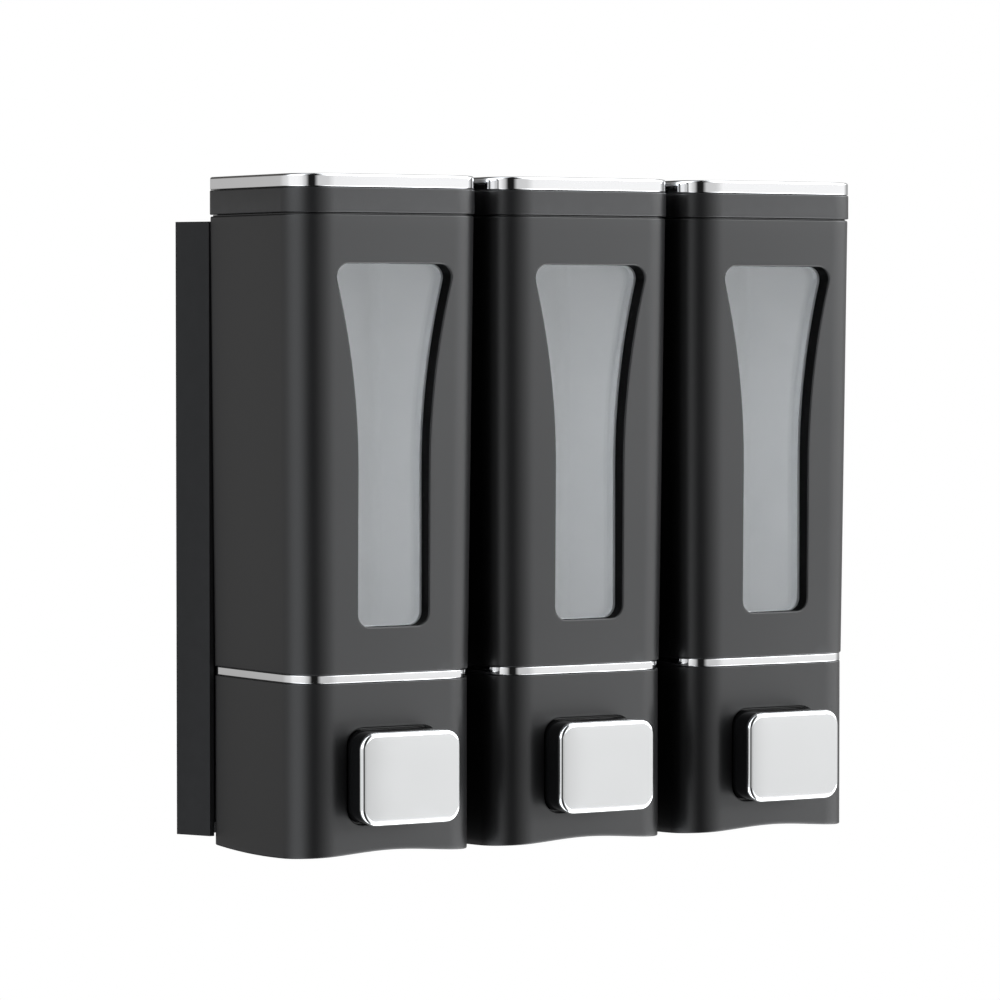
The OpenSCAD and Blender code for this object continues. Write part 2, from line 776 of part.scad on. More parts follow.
// A duckbill that closes the outlet
module outlet_valve() {
    flange_r = outlet_socket_r - touch_gap / 2;
    top = outlet_socket_z - touch_gap / 2;
    bill_l = 3;
    bill_r = 1.7;
    tip_r = 0.8;
    bill_wall = 0.6;
    tip_t = 0.5;
    color([0.85, 0.6, 0.5]) translate([0, port_y, 0]) difference() {
        union() {
            translate([0, 0, top - valve_flange_t]) cylinder(r = flange_r, h = valve_flange_t);
            translate([0, 0, top - valve_flange_t - bill_l])
                cylinder(r1 = tip_r, r2 = bill_r, h = bill_l + eps);
        }
        translate([0, 0, top - valve_flange_t - bill_l + tip_t])
            cylinder(r1 = tip_r - bill_wall, r2 = bill_r - bill_wall, h = bill_l + valve_flange_t);
    }
}

module nozzle() {
    plug_top = outlet_socket_z - valve_flange_t - touch_gap;
    plug_foot = outlet_z + touch_gap;
    color([0.7, 0.72, 0.74]) translate([0, port_y, 0]) difference() {
        union() {
            translate([0, 0, nozzle_end]) cylinder(r = nozzle_r, h = plug_top - nozzle_end);
            translate([0, 0, plug_foot])
                cylinder(r = outlet_socket_r - touch_gap / 2, h = plug_top - plug_foot);
            translate([0, 0, outlet_z - touch_gap - nozzle_shoulder_t])
                cylinder(r = outlet_r - 0.5, h = nozzle_shoulder_t);
        }
        translate([0, 0, nozzle_end - 1]) cylinder(r = nozzle_bore_r, h = plug_top);
        translate([0, 0, plug_foot - 0.5]) cylinder(r = outlet_bore_r - touch_gap, h = plug_top);
    }
}

module casing_screws() {
    color([0.6, 0.6, 0.62]) for (i = [0 : 2]) in_unit(i) casing_screw_places()
        translate([0, 0, deck_z - screw_head_h]) {
            cylinder(r = screw_head_r, h = screw_head_h - touch_gap);
            translate([0, 0, -casing_screw_l]) cylinder(r = casing_screw_r, h = casing_screw_l + eps);
        }
}

module pump_screws() {
    head_y0 = pump_ear_y + pump_ear_t + touch_gap / 2;
    color([0.6, 0.6, 0.62]) for (i = [0 : 2]) in_unit(i) for (side = [-1, 1]) {
        along_y(pump_screw_head_r, head_y0, head_y0 + pump_screw_head_h, side * pump_ear_x);
        along_y(pump_screw_r, head_y0 - pump_screw_l, head_y0 + eps, side * pump_ear_x);
    }
}

// A channel with flared sides, the rails that the units hang on and the wall screw holes
module wall_plate() {
    inner = pitch + plug_w / 2 + free_gap + plate_skin;
    outer = inner + plate_flare;
    front = -plate_d;
    color([0.05, 0.05, 0.055]) {
        difference() {
            union() {
                translate([0, 0, -plate_h / 2]) linear_extrude(plate_h) difference() {
                    polygon([[-outer, 0], [outer, 0], [inner, front], [-inner, front]]);
                    polygon([[plate_skin - outer, -plate_t], [outer - plate_skin, -plate_t],
                        [inner - plate_skin, front - eps], [plate_skin - inner, front - eps]]);
                }
                for (i = [0 : 2]) in_unit(i) cleat_rail();
            }
            for (x = [-pitch, pitch]) for (z = [-1, 1])
                translate([x, 1, z * screw_spacing_z / 2]) rotate([90, 0, 0])
                    cylinder(r = screw_hole_r, h = plate_t + 2);
        }
    }
}

wall_plate();
casing_screws();
pump_screws();
for (i = [0 : 2]) {
    side = SIDES[i];
    in_unit(i) upper_casing();
    in_unit(i) lower_casing();
    in_unit(i) trim_band();
    in_unit(i) lid_cap();
    in_unit(i) lid_trim();
    in_unit(i) lid_seal();
    in_unit(i) lid_hinge_pin();
    in_unit(i) tank();
    in_unit(i) sight_window();
    in_unit(i) button_cap();
    in_unit(i) button_block();
    in_unit(i) piston();
    in_unit(i) piston_seal();
    in_unit(i) return_spring();
    in_unit(i) pump_body();
    in_unit(i) inlet_valve();
    in_unit(i) outlet_valve();
    in_unit(i) nozzle();
    in_unit(i) neck_seal();
}
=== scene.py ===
import json
import math

import bmesh
import bpy
from mathutils import Matrix, Vector


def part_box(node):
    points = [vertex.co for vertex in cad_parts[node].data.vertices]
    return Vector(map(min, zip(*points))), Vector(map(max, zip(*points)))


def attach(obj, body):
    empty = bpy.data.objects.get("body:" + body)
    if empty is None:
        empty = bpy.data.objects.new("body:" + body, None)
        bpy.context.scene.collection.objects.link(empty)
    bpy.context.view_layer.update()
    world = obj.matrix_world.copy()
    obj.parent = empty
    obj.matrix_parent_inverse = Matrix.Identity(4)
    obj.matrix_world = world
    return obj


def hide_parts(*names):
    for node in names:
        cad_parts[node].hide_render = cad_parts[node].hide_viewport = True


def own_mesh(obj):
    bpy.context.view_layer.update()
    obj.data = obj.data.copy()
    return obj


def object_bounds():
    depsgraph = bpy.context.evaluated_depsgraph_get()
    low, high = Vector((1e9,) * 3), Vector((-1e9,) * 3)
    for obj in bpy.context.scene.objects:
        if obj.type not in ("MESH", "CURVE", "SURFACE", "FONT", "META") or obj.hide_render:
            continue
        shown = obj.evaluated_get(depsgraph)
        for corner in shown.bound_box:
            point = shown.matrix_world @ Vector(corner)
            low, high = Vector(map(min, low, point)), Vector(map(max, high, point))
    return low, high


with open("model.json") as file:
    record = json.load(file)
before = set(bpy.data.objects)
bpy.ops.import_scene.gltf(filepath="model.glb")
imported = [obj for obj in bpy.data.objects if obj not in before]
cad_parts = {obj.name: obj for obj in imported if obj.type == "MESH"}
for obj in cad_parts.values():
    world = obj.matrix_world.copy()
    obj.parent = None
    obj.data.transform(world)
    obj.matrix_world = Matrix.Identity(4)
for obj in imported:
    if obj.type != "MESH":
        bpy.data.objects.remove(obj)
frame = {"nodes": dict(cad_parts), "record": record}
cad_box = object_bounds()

# Three soap dispensers on a wall plate. Each unit's pieces are shaped in the unit's own frame, in
# millimetres: x across from its centre line, y back from its front face, z up from its lowest edge.

MM = 0.001
WELD = 0.002
SIDES = ("left", "middle", "right")

# Which body and which finish each CAD node has
BODY = {node: body for body, nodes in frame["record"]["behaviour"]["bodies"].items() for node in nodes}
SLOT = {row["node"]: row["material_slot"] for row in frame["record"]["subparts"]}


def unit_place(side):
    """The corner of a unit's own frame, in mm."""
    low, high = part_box("upper_casing_" + side)
    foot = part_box("lower_casing_" + side)[0]
    return Vector(((low.x + high.x) / 2, low.y, foot.z)) / MM


PLACE = {side: unit_place(side) for side in SIDES}


def extent(stem):
    """The lowest and highest corner of a unit's piece, in the unit's own frame, in mm."""
    low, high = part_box(stem + "_middle")
    return low / MM - PLACE["middle"], high / MM - PLACE["middle"]


UPPER = extent("upper_casing")
LOWER = extent("lower_casing")
BAND = extent("trim_band")
LID = extent("lid_cap")
LID_TRIM = extent("lid_trim")
PANE = extent("sight_window")
CAP = extent("button_cap")
BLOCK = extent("button_block")
SPRING = extent("return_spring")
NOZZLE = extent("nozzle")
PIN = extent("lid_hinge_pin")
SEAL = extent("lid_seal")
TANK = extent("tank")

# Walls, radii and gaps of the moulded pieces
WALL = 2.2
FRONT_R = 12.0
REAR_R = 1.5
SEAM = 0.5
DECK_T = 4.0
FLOOR_Z = 4.2
FACE_CROWN = 0.3
SIDE_CROWN = 0.2
EDGE_R = 0.45
LEAST_FRONT_R = 1.5
LEAST_REAR_R = 0.3
HEEL_ZONE = 4.0

UNIT_W = UPPER[1].x - UPPER[0].x
UNIT_D = LID_TRIM[1].y
UPPER_Z = UPPER[0].z
CASING_TOP = LID[0].z - SEAM
BAND_SETBACK = 0.3
FOOT_W = BAND[1].x - BAND[0].x + 2 * BAND_SETBACK
FOOT_Y = BAND[0].y - BAND_SETBACK
BAND_GAP = 0.05
LOWER_TOP = BAND[0].z - BAND_GAP
PORT_Y = (NOZZLE[0].y + NOZZLE[1].y) / 2
HINGE_Y = (PIN[0].y + PIN[1].y) / 2
HINGE_Z = (PIN[0].z + PIN[1].z) / 2
PLUG_Y = LOWER[1].y
PLUG_SPARE = 1.25
PLUG_HALF = TANK[1].x + PLUG_SPARE

# The low land on the casing's rim that closes the seam under the lid
LAND_H = 0.4
LAND_INSET = 0.35

# Steps of the meshes: half of the front strip, half of the back strip, the arcs and the sides
STRIP_HALF = 8
BACK_HALF = 6
CORNER_STEPS = 18
HALF_ARC = 4
SIDE_STEPS = 9
HEEL_STEPS = 4

# The parts of a plan outline, in the order that plan() gives them
STRIP, RIGHT, BACK, LEFT = range(4)


# ---------------------------------------------------------------- outlines

def spread(a, b, steps):
    """Evenly spaced values from a to b, with both ends."""
    return [a + (b - a) * k / steps for k in range(steps + 1)]


def arc(cx, cz, r, start, end, steps):
    """Points along an arc, its angles in degrees."""
    turns = [math.radians(a) for a in spread(start, end, steps)]
    return [(cx + r * math.cos(a), cz + r * math.sin(a)) for a in turns]


def join(*parts):
    """Lists of points as one, without a point that repeats the last."""
    points = []
    for point in (p for part in parts for p in part):
        if not points or math.dist(point, points[-1]) > WELD:
            points.append(point)
    return points


def mirrored(right):
    """A closed loop from its right half, which runs from the bottom's middle to the top's middle."""
    return right + [(-x, z) for x, z in reversed(right[1:-1])]


def edge(r, steps=3):
    """(distance along, inset) pairs round an edge of radius r, from its end face to its side."""
    turns = [math.radians(a) for a in spread(0, 90, steps)]
    return [(r * (1 - math.cos(a)), r * (1 - math.sin(a))) for a in turns]


def plan(w, y0, y1, front_r, rear_r, crown=FACE_CROWN, bulge=SIDE_CROWN):
    """A plan outline as its front strip, which is crowned, its right side, its back and its left side."""
    half = w / 2
    strip_half = half - bulge - front_r
    back_half = half - bulge - rear_r
    strip_xs = spread(-strip_half, strip_half, 2 * STRIP_HALF)
    strip = [(x, y0 + crown * (x / strip_half) ** 2) for x in strip_xs]
    corner_y = y0 + crown + front_r
    heel_y = y1 - rear_r
    mid_y, reach = (corner_y + heel_y) / 2, (heel_y - corner_y) / 2
    near_heel = heel_y - HEEL_ZONE
    side_ys = spread(corner_y, near_heel, SIDE_STEPS) + spread(near_heel, heel_y, HEEL_STEPS)[1:]
    right = join(
        arc(strip_half, corner_y, front_r, -90, 0, CORNER_STEPS),
        [(half - bulge * ((y - mid_y) / reach) ** 2, y) for y in side_ys],
        arc(back_half, heel_y, rear_r, 0, 90, HALF_ARC),
    )
    back = [(x, y1) for x in spread(back_half, -back_half, 2 * BACK_HALF)]
    left = [(-x, y) for x, y in reversed(right)]
    return strip, right, back, left


def closed(parts):
    """The whole outline as one loop."""
    strip, right, back, left = parts
    return strip[:-1] + right[:-1] + back[:-1] + left[:-1]


def at_z(points, z):
    """An outline at a height."""
    return [(x, y, z) for x, y in points]


def loops_of(profile, w, y0, y1, front_r=FRONT_R, rear_r=REAR_R, crown=FACE_CROWN, bulge=SIDE_CROWN):
    """Closed loops of a plan outline, one for each (z, inset) pair of a section."""
    loops = []
    for z, inset in profile:
        corner_r = max(front_r - inset, LEAST_FRONT_R)
        heel_r = max(rear_r - inset, LEAST_REAR_R)
        outline = plan(w - 2 * inset, y0 + inset, y1 - inset, corner_r, heel_r, crown, bulge)
        loops.append(at_z(closed(outline), z))
    return loops


class Skin:
    """The drafted outside of a casing, or its inside when inset."""

    def __init__(self, foot_z, top_z, foot_w, top_w, foot_y, top_y):
        self.foot_z, self.top_z = foot_z, top_z
        self.foot_w, self.top_w = foot_w, top_w
        self.foot_y, self.top_y = foot_y, top_y

    def share(self, z):
        return (z - self.foot_z) / (self.top_z - self.foot_z)

    def width(self, z):
        return self.foot_w + (self.top_w - self.foot_w) * self.share(z)

    def strip_half(self, z):
        return self.width(z) / 2 - SIDE_CROWN - FRONT_R

    def flat_y(self, z):
        """Depth of the front's centre line at a height."""
        return self.foot_y + (self.top_y - self.foot_y) * self.share(z)

    def face_y(self, x, z):
        """Depth of the crowned front at a point."""
        return self.flat_y(z) + FACE_CROWN * (x / self.strip_half(z)) ** 2

    def plan(self, z, inset=0.0):
        flat = self.flat_y(z)
        rear_r = max(REAR_R - inset, LEAST_REAR_R)
        return plan(self.width(z) - 2 * inset, flat + inset, UNIT_D - inset, FRONT_R - inset, rear_r)

    def loop(self, z, inset):
        """The whole outline as a loop at its height."""
        return at_z(closed(self.plan(z, inset)), z)


# ---------------------------------------------------------------- mesh making

class Piece:
    """Collects the faces of one piece in the unit's frame and welds them."""

    def __init__(self):
        self.bm = bmesh.new()

    def grid(self, rows, wrap=False, finish=0):
        """Faces between rows of points. wrap joins each row's end to its start, finish is their slot."""
        made = [[self.bm.verts.new(p) for p in row] for row in rows]
        for low, high in zip(made, made[1:]):
            for k in range(len(low) if wrap else len(low) - 1):
                n = (k + 1) % len(low)
                face = self.bm.faces.new((low[k], low[n], high[n], high[k]))
                face.material_index = finish

    def cap(self, loop):
        """One flat face that closes a loop."""
        self.bm.faces.new([self.bm.verts.new(p) for p in loop])

    def extrude(self, outline, x0, x1, chamfer=0.3):
        """A bar along x whose outline is in the YZ plane, with chamfered ends."""
        cy = sum(y for y, z in outline) / len(outline)
        cz = sum(z for y, z in outline) / len(outline)
        rings = []
        for x, inset in ((x0, chamfer), (x0 + chamfer, 0), (x1 - chamfer, 0), (x1, chamfer)):
            ring = []
            for y, z in outline:
                reach = max(math.dist((y, z), (cy, cz)), chamfer)
                share = 1 - inset / reach
                ring.append((x, cy + (y - cy) * share, cz + (z - cz) * share))
            rings.append(ring)
        self.grid(rings, wrap=True)
        self.cap(rings[0])
        self.cap(rings[-1])

    def mesh(self, name):
        """The welded mesh. The piece can't be added to after this."""
        bmesh.ops.remove_doubles(self.bm, verts=self.bm.verts, dist=WELD)
        bmesh.ops.dissolve_degenerate(self.bm, edges=self.bm.edges, dist=WELD)
        bmesh.ops.recalc_face_normals(self.bm, faces=self.bm.faces)
        mesh = bpy.data.meshes.new(name)
        self.bm.to_mesh(mesh)
        self.bm.free()
        return mesh


def fit(piece, stem, sharp_deg=38, second=None):
    """One object for each unit from a finished piece, each in place of the CAD node of that name.

    second is the material of the faces whose finish is 1.
    """
    base = piece.mesh(stem)
    made = []
    for side in SIDES:
        node = f"{stem}_{side}"
        mesh = base.copy()
        mesh.transform(Matrix.Translation(PLACE[side] * MM) @ Matrix.Scale(MM, 4))
        mesh.polygons.foreach_set("use_smooth", [True] * len(mesh.polygons))
        mesh.set_sharp_from_angle(angle=math.radians(sharp_deg))
        obj = bpy.data.objects.new(node + "_moulding", mesh)
        bpy.context.scene.collection.objects.link(obj)
        weighted = obj.modifiers.new("even_shading", "WEIGHTED_NORMAL")
        weighted.keep_sharp = True
        obj.data.materials.append(FINISH[SLOT[node]])
        if second:
            obj.data.materials.append(second)
        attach(obj, BODY[node])
        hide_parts(node)
        made.append(obj)
    return made


# ---------------------------------------------------------------- openings in the casings' fronts

WINDOW_W = 24.6
WINDOW_R = 4.0
FLARE_START = 46.5
FLARE_R = 222.0
PANE_LAP = 3.0
WINDOW_Z = PANE[0].z + PANE_LAP
WINDOW_TOP = PANE[1].z - PANE_LAP
FLARE_Z = WINDOW_Z + FLARE_START
FLARE_DEG = math.degrees(math.asin((WINDOW_TOP - WINDOW_R - FLARE_Z) / (FLARE_R + WINDOW_R)))
BEZEL_GAP = 0.1
BEZEL_D = PANE[0].y - BEZEL_GAP
BEZEL_WALL = 0.8
WINDOW_STEPS = 8
FLARE_STEPS = 14


def window_half(margin):
    """The right half of the window's outline, grown by a margin."""
    r = WINDOW_R + margin
    foot_x = WINDOW_W / 2 - WINDOW_R
    flare_x = WINDOW_W / 2 + FLARE_R
    top_x = flare_x - (FLARE_R + WINDOW_R) * math.cos(math.radians(FLARE_DEG))
    low, high = WINDOW_Z + WINDOW_R, WINDOW_TOP - WINDOW_R
    straight = WINDOW_W / 2 + margin
    return join(
        [(x, WINDOW_Z - margin) for x in spread(0, foot_x, STRIP_HALF - HALF_ARC)],
        arc(foot_x, low, r, 270, 360, 2 * HALF_ARC),
        [(straight, z) for z in spread(low, FLARE_Z, WINDOW_STEPS)],
        arc(flare_x, FLARE_Z, FLARE_R - margin, 180, 180 - FLARE_DEG, FLARE_STEPS),
        arc(top_x, high, r, -FLARE_DEG, 90, 2 * HALF_ARC),
        [(x, WINDOW_TOP + margin) for x in spread(top_x, 0, STRIP_HALF - HALF_ARC)],
    )


def rounded_half(w, h, r, cz, margin, side_steps=8):
    """The right half of a rectangle with round corners about height cz, grown by a margin."""
    x, z = w / 2 - r, h / 2 - r
    r += margin
    return join(
        [(k, cz - z - r) for k in spread(0, x, STRIP_HALF - HALF_ARC)],
        arc(x, cz - z, r, 270, 360, 2 * HALF_ARC),
        [(x + r, k) for k in spread(cz - z, cz + z, side_steps)],
        arc(x, cz + z, r, 0, 90, 2 * HALF_ARC),
        [(k, cz + z + r) for k in spread(x, 0, STRIP_HALF - HALF_ARC)],
    )


def side_levels(half, low, high):
    """Heights of the strip's edge that go with the outline's side points."""
    heights = [z for x, z in half[STRIP_HALF:-STRIP_HALF]]
    first, last = heights[0], heights[-1]
    return [low + (z - first) * (high - low) / (last - first) for z in heights]


# Where the rings lie between an opening and the edge of its panel
PANEL_SHARES = (0, 0.12, 0.3, 0.55, 0.8, 1)
WALL_SHARES = (0.4, 1)


def panel_round_opening(piece, skin, half, levels, inset):
    """Faces of a casing's front strip between its edges and an opening's outline."""
    low, high = levels[0], levels[-1]
    rim = join(
        [(x, low) for x in spread(0, skin.strip_half(low), STRIP_HALF)],
        [(skin.strip_half(z), z) for z in levels],
        [(x, high) for x in spread(skin.strip_half(high), 0, STRIP_HALF)],
    )
    rings = []
    for share in PANEL_SHARES:
        mixed = [(a + (c - a) * share, b + (d - b) * share) for (a, b), (c, d) in zip(half, rim)]
        rings.append([(x, skin.face_y(x, z) + inset, z) for x, z in mirrored(mixed)])
    piece.grid(rings, wrap=True)


def opening_walls(piece, skin, half_at, lip_r, back_y, wall, finish=0):
    """The opening's rounded edge, and its wall back to back_y, in a finish of its own.

    With a wall thickness it adds the collar that the wall needs behind the front's inside.
    """
    rings = []
    for depth, margin in edge(lip_r, HALF_ARC):
        rings.append([(x, skin.face_y(x, z) + depth, z) for x, z in mirrored(half_at(margin))])
    piece.grid(rings, wrap=True)
    rings = rings[-1:]
    straight = mirrored(half_at(0))
    for share in WALL_SHARES:
        ring = []
        for x, z in straight:
            y = skin.face_y(x, z) + lip_r
            ring.append((x, y + (back_y(x, z) - y) * share, z))
        rings.append(ring)
    if wall:
        outer = mirrored(half_at(wall))
        rings.append([(x, back_y(x, z), z) for x, z in outer])
        rings.append([(x, skin.face_y(x, z) + WALL, z) for x, z in outer])
    piece.grid(rings, wrap=True, finish=finish)


# ---------------------------------------------------------------- casings

def body_rows(foot_z, top_z, levels, below, above):
    """Heights of a casing's rows between its end edges."""
    return spread(foot_z, levels[0], below)[:-1] + levels + spread(levels[-1], top_z, above)[1:]


def outer_shell(piece, skin, rows, levels, plug):
    """The outside of a casing with its front opening and the plug on its back left out."""
    foot_edge = [(skin.foot_z + d, inset) for d, inset in edge(EDGE_R)]
    top_edge = [(skin.top_z - d, inset) for d, inset in reversed(edge(EDGE_R))]
    for ends in (foot_edge, top_edge):
        piece.grid([skin.loop(z, inset) for z, inset in ends], wrap=True)
    plans = [skin.plan(z) for z in rows]
    for part in (RIGHT, LEFT):
        piece.grid([at_z(p[part], z) for p, z in zip(plans, rows)])
    low = [z for z in rows if z <= levels[0] + WELD]
    high = [z for z in rows if z >= levels[-1] - WELD]
    for span in (low, high):
        piece.grid([at_z(skin.plan(z)[STRIP], z) for z in span])
    plug_on_back(piece, skin, rows, plug)


def plug_on_back(piece, skin, rows, plug, inset=0.0, edge_r=1.0):
    """The back of a casing, or its inside, stepping out to the plug that enters the wall plate."""
    plug_half, plug_z0, plug_z1, plug_y = plug
    heights = [plug_z0 + (z - rows[0]) * (plug_z1 - plug_z0) / (rows[-1] - rows[0]) for z in rows]
    rear_r = max(REAR_R - inset, LEAST_REAR_R)

    def back_half(z):
        return skin.width(z) / 2 - inset - SIDE_CROWN - rear_r

    def square(half_of, levels):
        return mirrored(
            [(x, levels[0]) for x in spread(0, half_of(levels[0]), BACK_HALF)][:-1]
            + [(half_of(z), z) for z in levels]
            + [(x, levels[-1]) for x in spread(half_of(levels[-1]), 0, BACK_HALF)][1:]
        )

    outer = square(back_half, rows)
    foot = square(lambda z: plug_half, heights)
    rings = [[(x, UNIT_D - inset, z) for x, z in outer], [(x, UNIT_D - inset, z) for x, z in foot]]
    middle, reach = (plug_z0 + plug_z1) / 2, (plug_z1 - plug_z0) / 2
    for depth, back in reversed(edge(edge_r)):
        scale_x, scale_z = (plug_half - back) / plug_half, (reach - back) / reach
        rings.append([(x * scale_x, plug_y - depth, middle + (z - middle) * scale_z) for x, z in foot])
    piece.grid(rings, wrap=True)
    piece.cap(rings[-1])


def inner_shell(piece, skin, rows, levels, floor_z, top_z, recess=None):
    """The inside of a casing from its rim down to its floor, with a recess in its back for the tank."""
    least = 1.0
    inside = [floor_z] + [z for z in rows if floor_z + least < z < top_z - least] + [top_z]
    plans = [skin.plan(z, WALL) for z in inside]
    for part in (RIGHT, LEFT) if recess else (RIGHT, BACK, LEFT):
        piece.grid([at_z(p[part], z) for p, z in zip(plans, inside)])
    if recess:
        plug_on_back(piece, skin, inside, recess, inset=WALL, edge_r=0.5)
    low = [z for z in inside if z <= levels[0] + WELD]
    high = [z for z in inside if z >= levels[-1] - WELD]
    for span in (low, high):
        piece.grid([at_z(skin.plan(z, WALL)[STRIP], z) for z in span])


def ring_of_hole(loop, cx, cy, r, z):
    """A round hole's edge with one point for each point of a loop round it."""
    ring = []
    for x, y, _ in loop:
        reach = math.dist((x, y), (cx, cy))
        ring.append((cx + (x - cx) * r / reach, cy + (y - cy) * r / reach, z))
    return ring


def floor_with_hole(piece, below, above, cx, cy, r):
    """A floor between two loops, with a round hole through it."""
    z0, z1 = below[0][2], above[0][2]
    outer_r = 3 * r
    foot = ring_of_hole(below, cx, cy, r, z0)
    head = ring_of_hole(below, cx, cy, r, z1)
    piece.grid([below, ring_of_hole(below, cx, cy, outer_r, z0), foot], wrap=True)
    piece.grid([foot, head], wrap=True)
    piece.grid([head, ring_of_hole(above, cx, cy, outer_r, z1), above], wrap=True)


NECK_HOLE_R = 6.3
NOZZLE_HOLE_R = 3.3


def hinge_ears(piece):
    """Two ears on the casing's back that carry the hinge pin."""
    knuckle_r = LID[1].y - HINGE_Y
    ear_l, web_h = 5.0, 8.0
    foot_z = UPPER[1].z - 2 * knuckle_r - web_h
    outline = [(HINGE_Y + knuckle_r, foot_z)] + arc(HINGE_Y, HINGE_Z, knuckle_r, 0, 180, 16)
    outline.append((HINGE_Y - knuckle_r, foot_z))
    for side in (-1, 1):
        x = side * (PIN[1].x - ear_l / 2)
        piece.extrude(outline, x - ear_l / 2, x + ear_l / 2)


def cleat_hook(piece):
    """The sloping hook on the casing's back that drops behind the plate's rail."""
    half, high, sunk = 20.0, 6.0, 0.5
    above_casing_foot = 110.7
    foot_z = UPPER_Z + above_casing_foot
    front_z = foot_z + UPPER[1].y - PLUG_Y
    outline = [(PLUG_Y - sunk, front_z), (PLUG_Y - sunk, front_z + high)]
    outline += [(UPPER[1].y, foot_z + high), (UPPER[1].y, foot_z)]
    piece.extrude(outline, -half, half)


def rim_with_land(piece, skin):
    """The casing's upper rim, with the land that stands on it."""
    land_z, land_x, chamfer = CASING_TOP + LAND_H, EDGE_R + LAND_INSET, 0.1
    rim = [
        (EDGE_R, CASING_TOP), (land_x, CASING_TOP), (land_x, land_z - chamfer), (land_x + chamfer, land_z),
        (WALL - chamfer, land_z), (WALL, land_z - chamfer), (WALL, CASING_TOP),
    ]
    piece.grid([at_z(closed(skin.plan(CASING_TOP, inset)), z) for inset, z in rim], wrap=True)


def upper_casing():
    skin = Skin(UPPER_Z, CASING_TOP, FOOT_W, UNIT_W, FOOT_Y, 0.0)
    piece = Piece()
    around_window, plug_end, tank_gap = 6.0, 5.0, 0.25
    half = window_half(EDGE_R)
    levels = side_levels(half, WINDOW_Z - around_window, WINDOW_TOP + around_window)
    rows = body_rows(UPPER_Z + EDGE_R, CASING_TOP - EDGE_R, levels, 2, 2)
    plug_z0, plug_z1 = UPPER_Z + plug_end, CASING_TOP - plug_end
    outer_shell(piece, skin, rows, levels, (PLUG_HALF, plug_z0, plug_z1, PLUG_Y))
    deck_z = UPPER_Z + DECK_T
    recess = (TANK[1].x + tank_gap, plug_z0 + WALL, plug_z1 - WALL, PLUG_Y - WALL)
    inner_shell(piece, skin, rows, levels, deck_z, CASING_TOP, recess)
    panel_round_opening(piece, skin, half, levels, 0)
    panel_round_opening(piece, skin, window_half(BEZEL_WALL), levels, WALL)
    # The window's walls take the second, darker black: painted shade in the recess
    opening_walls(piece, skin, window_half, EDGE_R, lambda x, z: BEZEL_D, BEZEL_WALL, finish=1)
    rim_with_land(piece, skin)
    floor_with_hole(piece, skin.loop(UPPER_Z, EDGE_R), skin.loop(deck_z, WALL), 0, PORT_Y, NECK_HOLE_R)
    hinge_ears(piece)
    cleat_hook(piece)
    return fit(piece, "upper_casing", second=PAINTED_RECESS_SHADE)


# The lower casing's edge: where the sides' long curve is lowest, its rise, the arch and the rear heel
BELLY_Y = 30.2
BELLY_RISE = 1.2
ARCH_RISE = 1.4
HEEL_R = 1.7
ARCH_END = 4.0


def foot_rise(x, y):
    """Height of the lower casing's edge at a point, above its lowest."""
    belly_r = (BELLY_Y ** 2 + BELLY_RISE ** 2) / (2 * BELLY_RISE)
    rise = belly_r - math.sqrt(belly_r ** 2 - (y - BELLY_Y) ** 2)
    heel = min(y - (UNIT_D - HEEL_R), HEEL_R)
    if heel > 0:
        rise = max(rise, HEEL_R - math.sqrt(HEEL_R ** 2 - heel ** 2))
    arch_half = FOOT_W / 2 - ARCH_END
    if abs(x) < arch_half:
        rise += ARCH_RISE * (1 + math.cos(math.pi * x / arch_half)) / 2
    return rise


def shape_foot(piece):
    """Lifts the lower casing's edge to its curve and leaves all above the floor as it is."""
    straight = EDGE_R + 0.05  # The height that the edge's own rounding takes
    for v in piece.bm.verts:
        if v.co.z < FLOOR_Z - WELD:
            share = min(1.0, (FLOOR_Z - v.co.z) / (FLOOR_Z - straight))
            v.co.z += foot_rise(v.co.x, v.co.y) * share


def lower_casing():
    width = LOWER[1].x - LOWER[0].x
    skin = Skin(0.0, LOWER_TOP, width, width, LOWER[0].y, LOWER[0].y)
    piece = Piece()
    gap, lip_r, around_hole = 0.6, 0.35, 3.4
    plug_foot, plug_end = 7.5, 3.0
    hole_w, hole_h = BLOCK_W + 2 * gap, BLOCK_H + 2 * gap

    def hole_half(margin):
        return rounded_half(hole_w, hole_h, BLOCK_R + gap, BUTTON_Z, margin)

    half = hole_half(lip_r)
    levels = side_levels(half, BUTTON_Z - hole_h / 2 - around_hole, BUTTON_Z + hole_h / 2 + around_hole)
    rows = body_rows(EDGE_R, LOWER_TOP - EDGE_R, levels, 4, 2)
    outer_shell(piece, skin, rows, levels, (PLUG_HALF, plug_foot, LOWER_TOP - plug_end, PLUG_Y))
    floor_top = FLOOR_Z + WALL
    inner_shell(piece, skin, rows, levels, floor_top, LOWER_TOP)
    panel_round_opening(piece, skin, half, levels, 0)
    panel_round_opening(piece, skin, hole_half(0), levels, WALL)
    opening_walls(piece, skin, hole_half, lip_r, lambda x, z: skin.face_y(x, z) + WALL, 0)
    piece.grid([skin.loop(LOWER_TOP, inset) for inset in (EDGE_R, WALL)], wrap=True)
    lip = [(0, EDGE_R), (0, WALL - 0.3), (0.1, WALL - 0.08), (0.3, WALL), (FLOOR_Z, WALL)]
    lip_loops = [at_z(closed(skin.plan(0, inset)), z) for z, inset in lip]
    piece.grid(lip_loops, wrap=True)
    floor_with_hole(piece, lip_loops[-1], skin.loop(floor_top, WALL), 0, PORT_Y, NOZZLE_HOLE_R)
    shape_foot(piece)
    return fit(piece, "lower_casing")


# ---------------------------------------------------------------- chrome trim and lid

def ring_piece(profile, w, y0, y1):
    """A closed ring whose section is a list of (z, inset) pairs."""
    piece = Piece()
    loops = loops_of(profile, w, y0, y1)
    piece.grid(loops + loops[:1], wrap=True)
    return piece


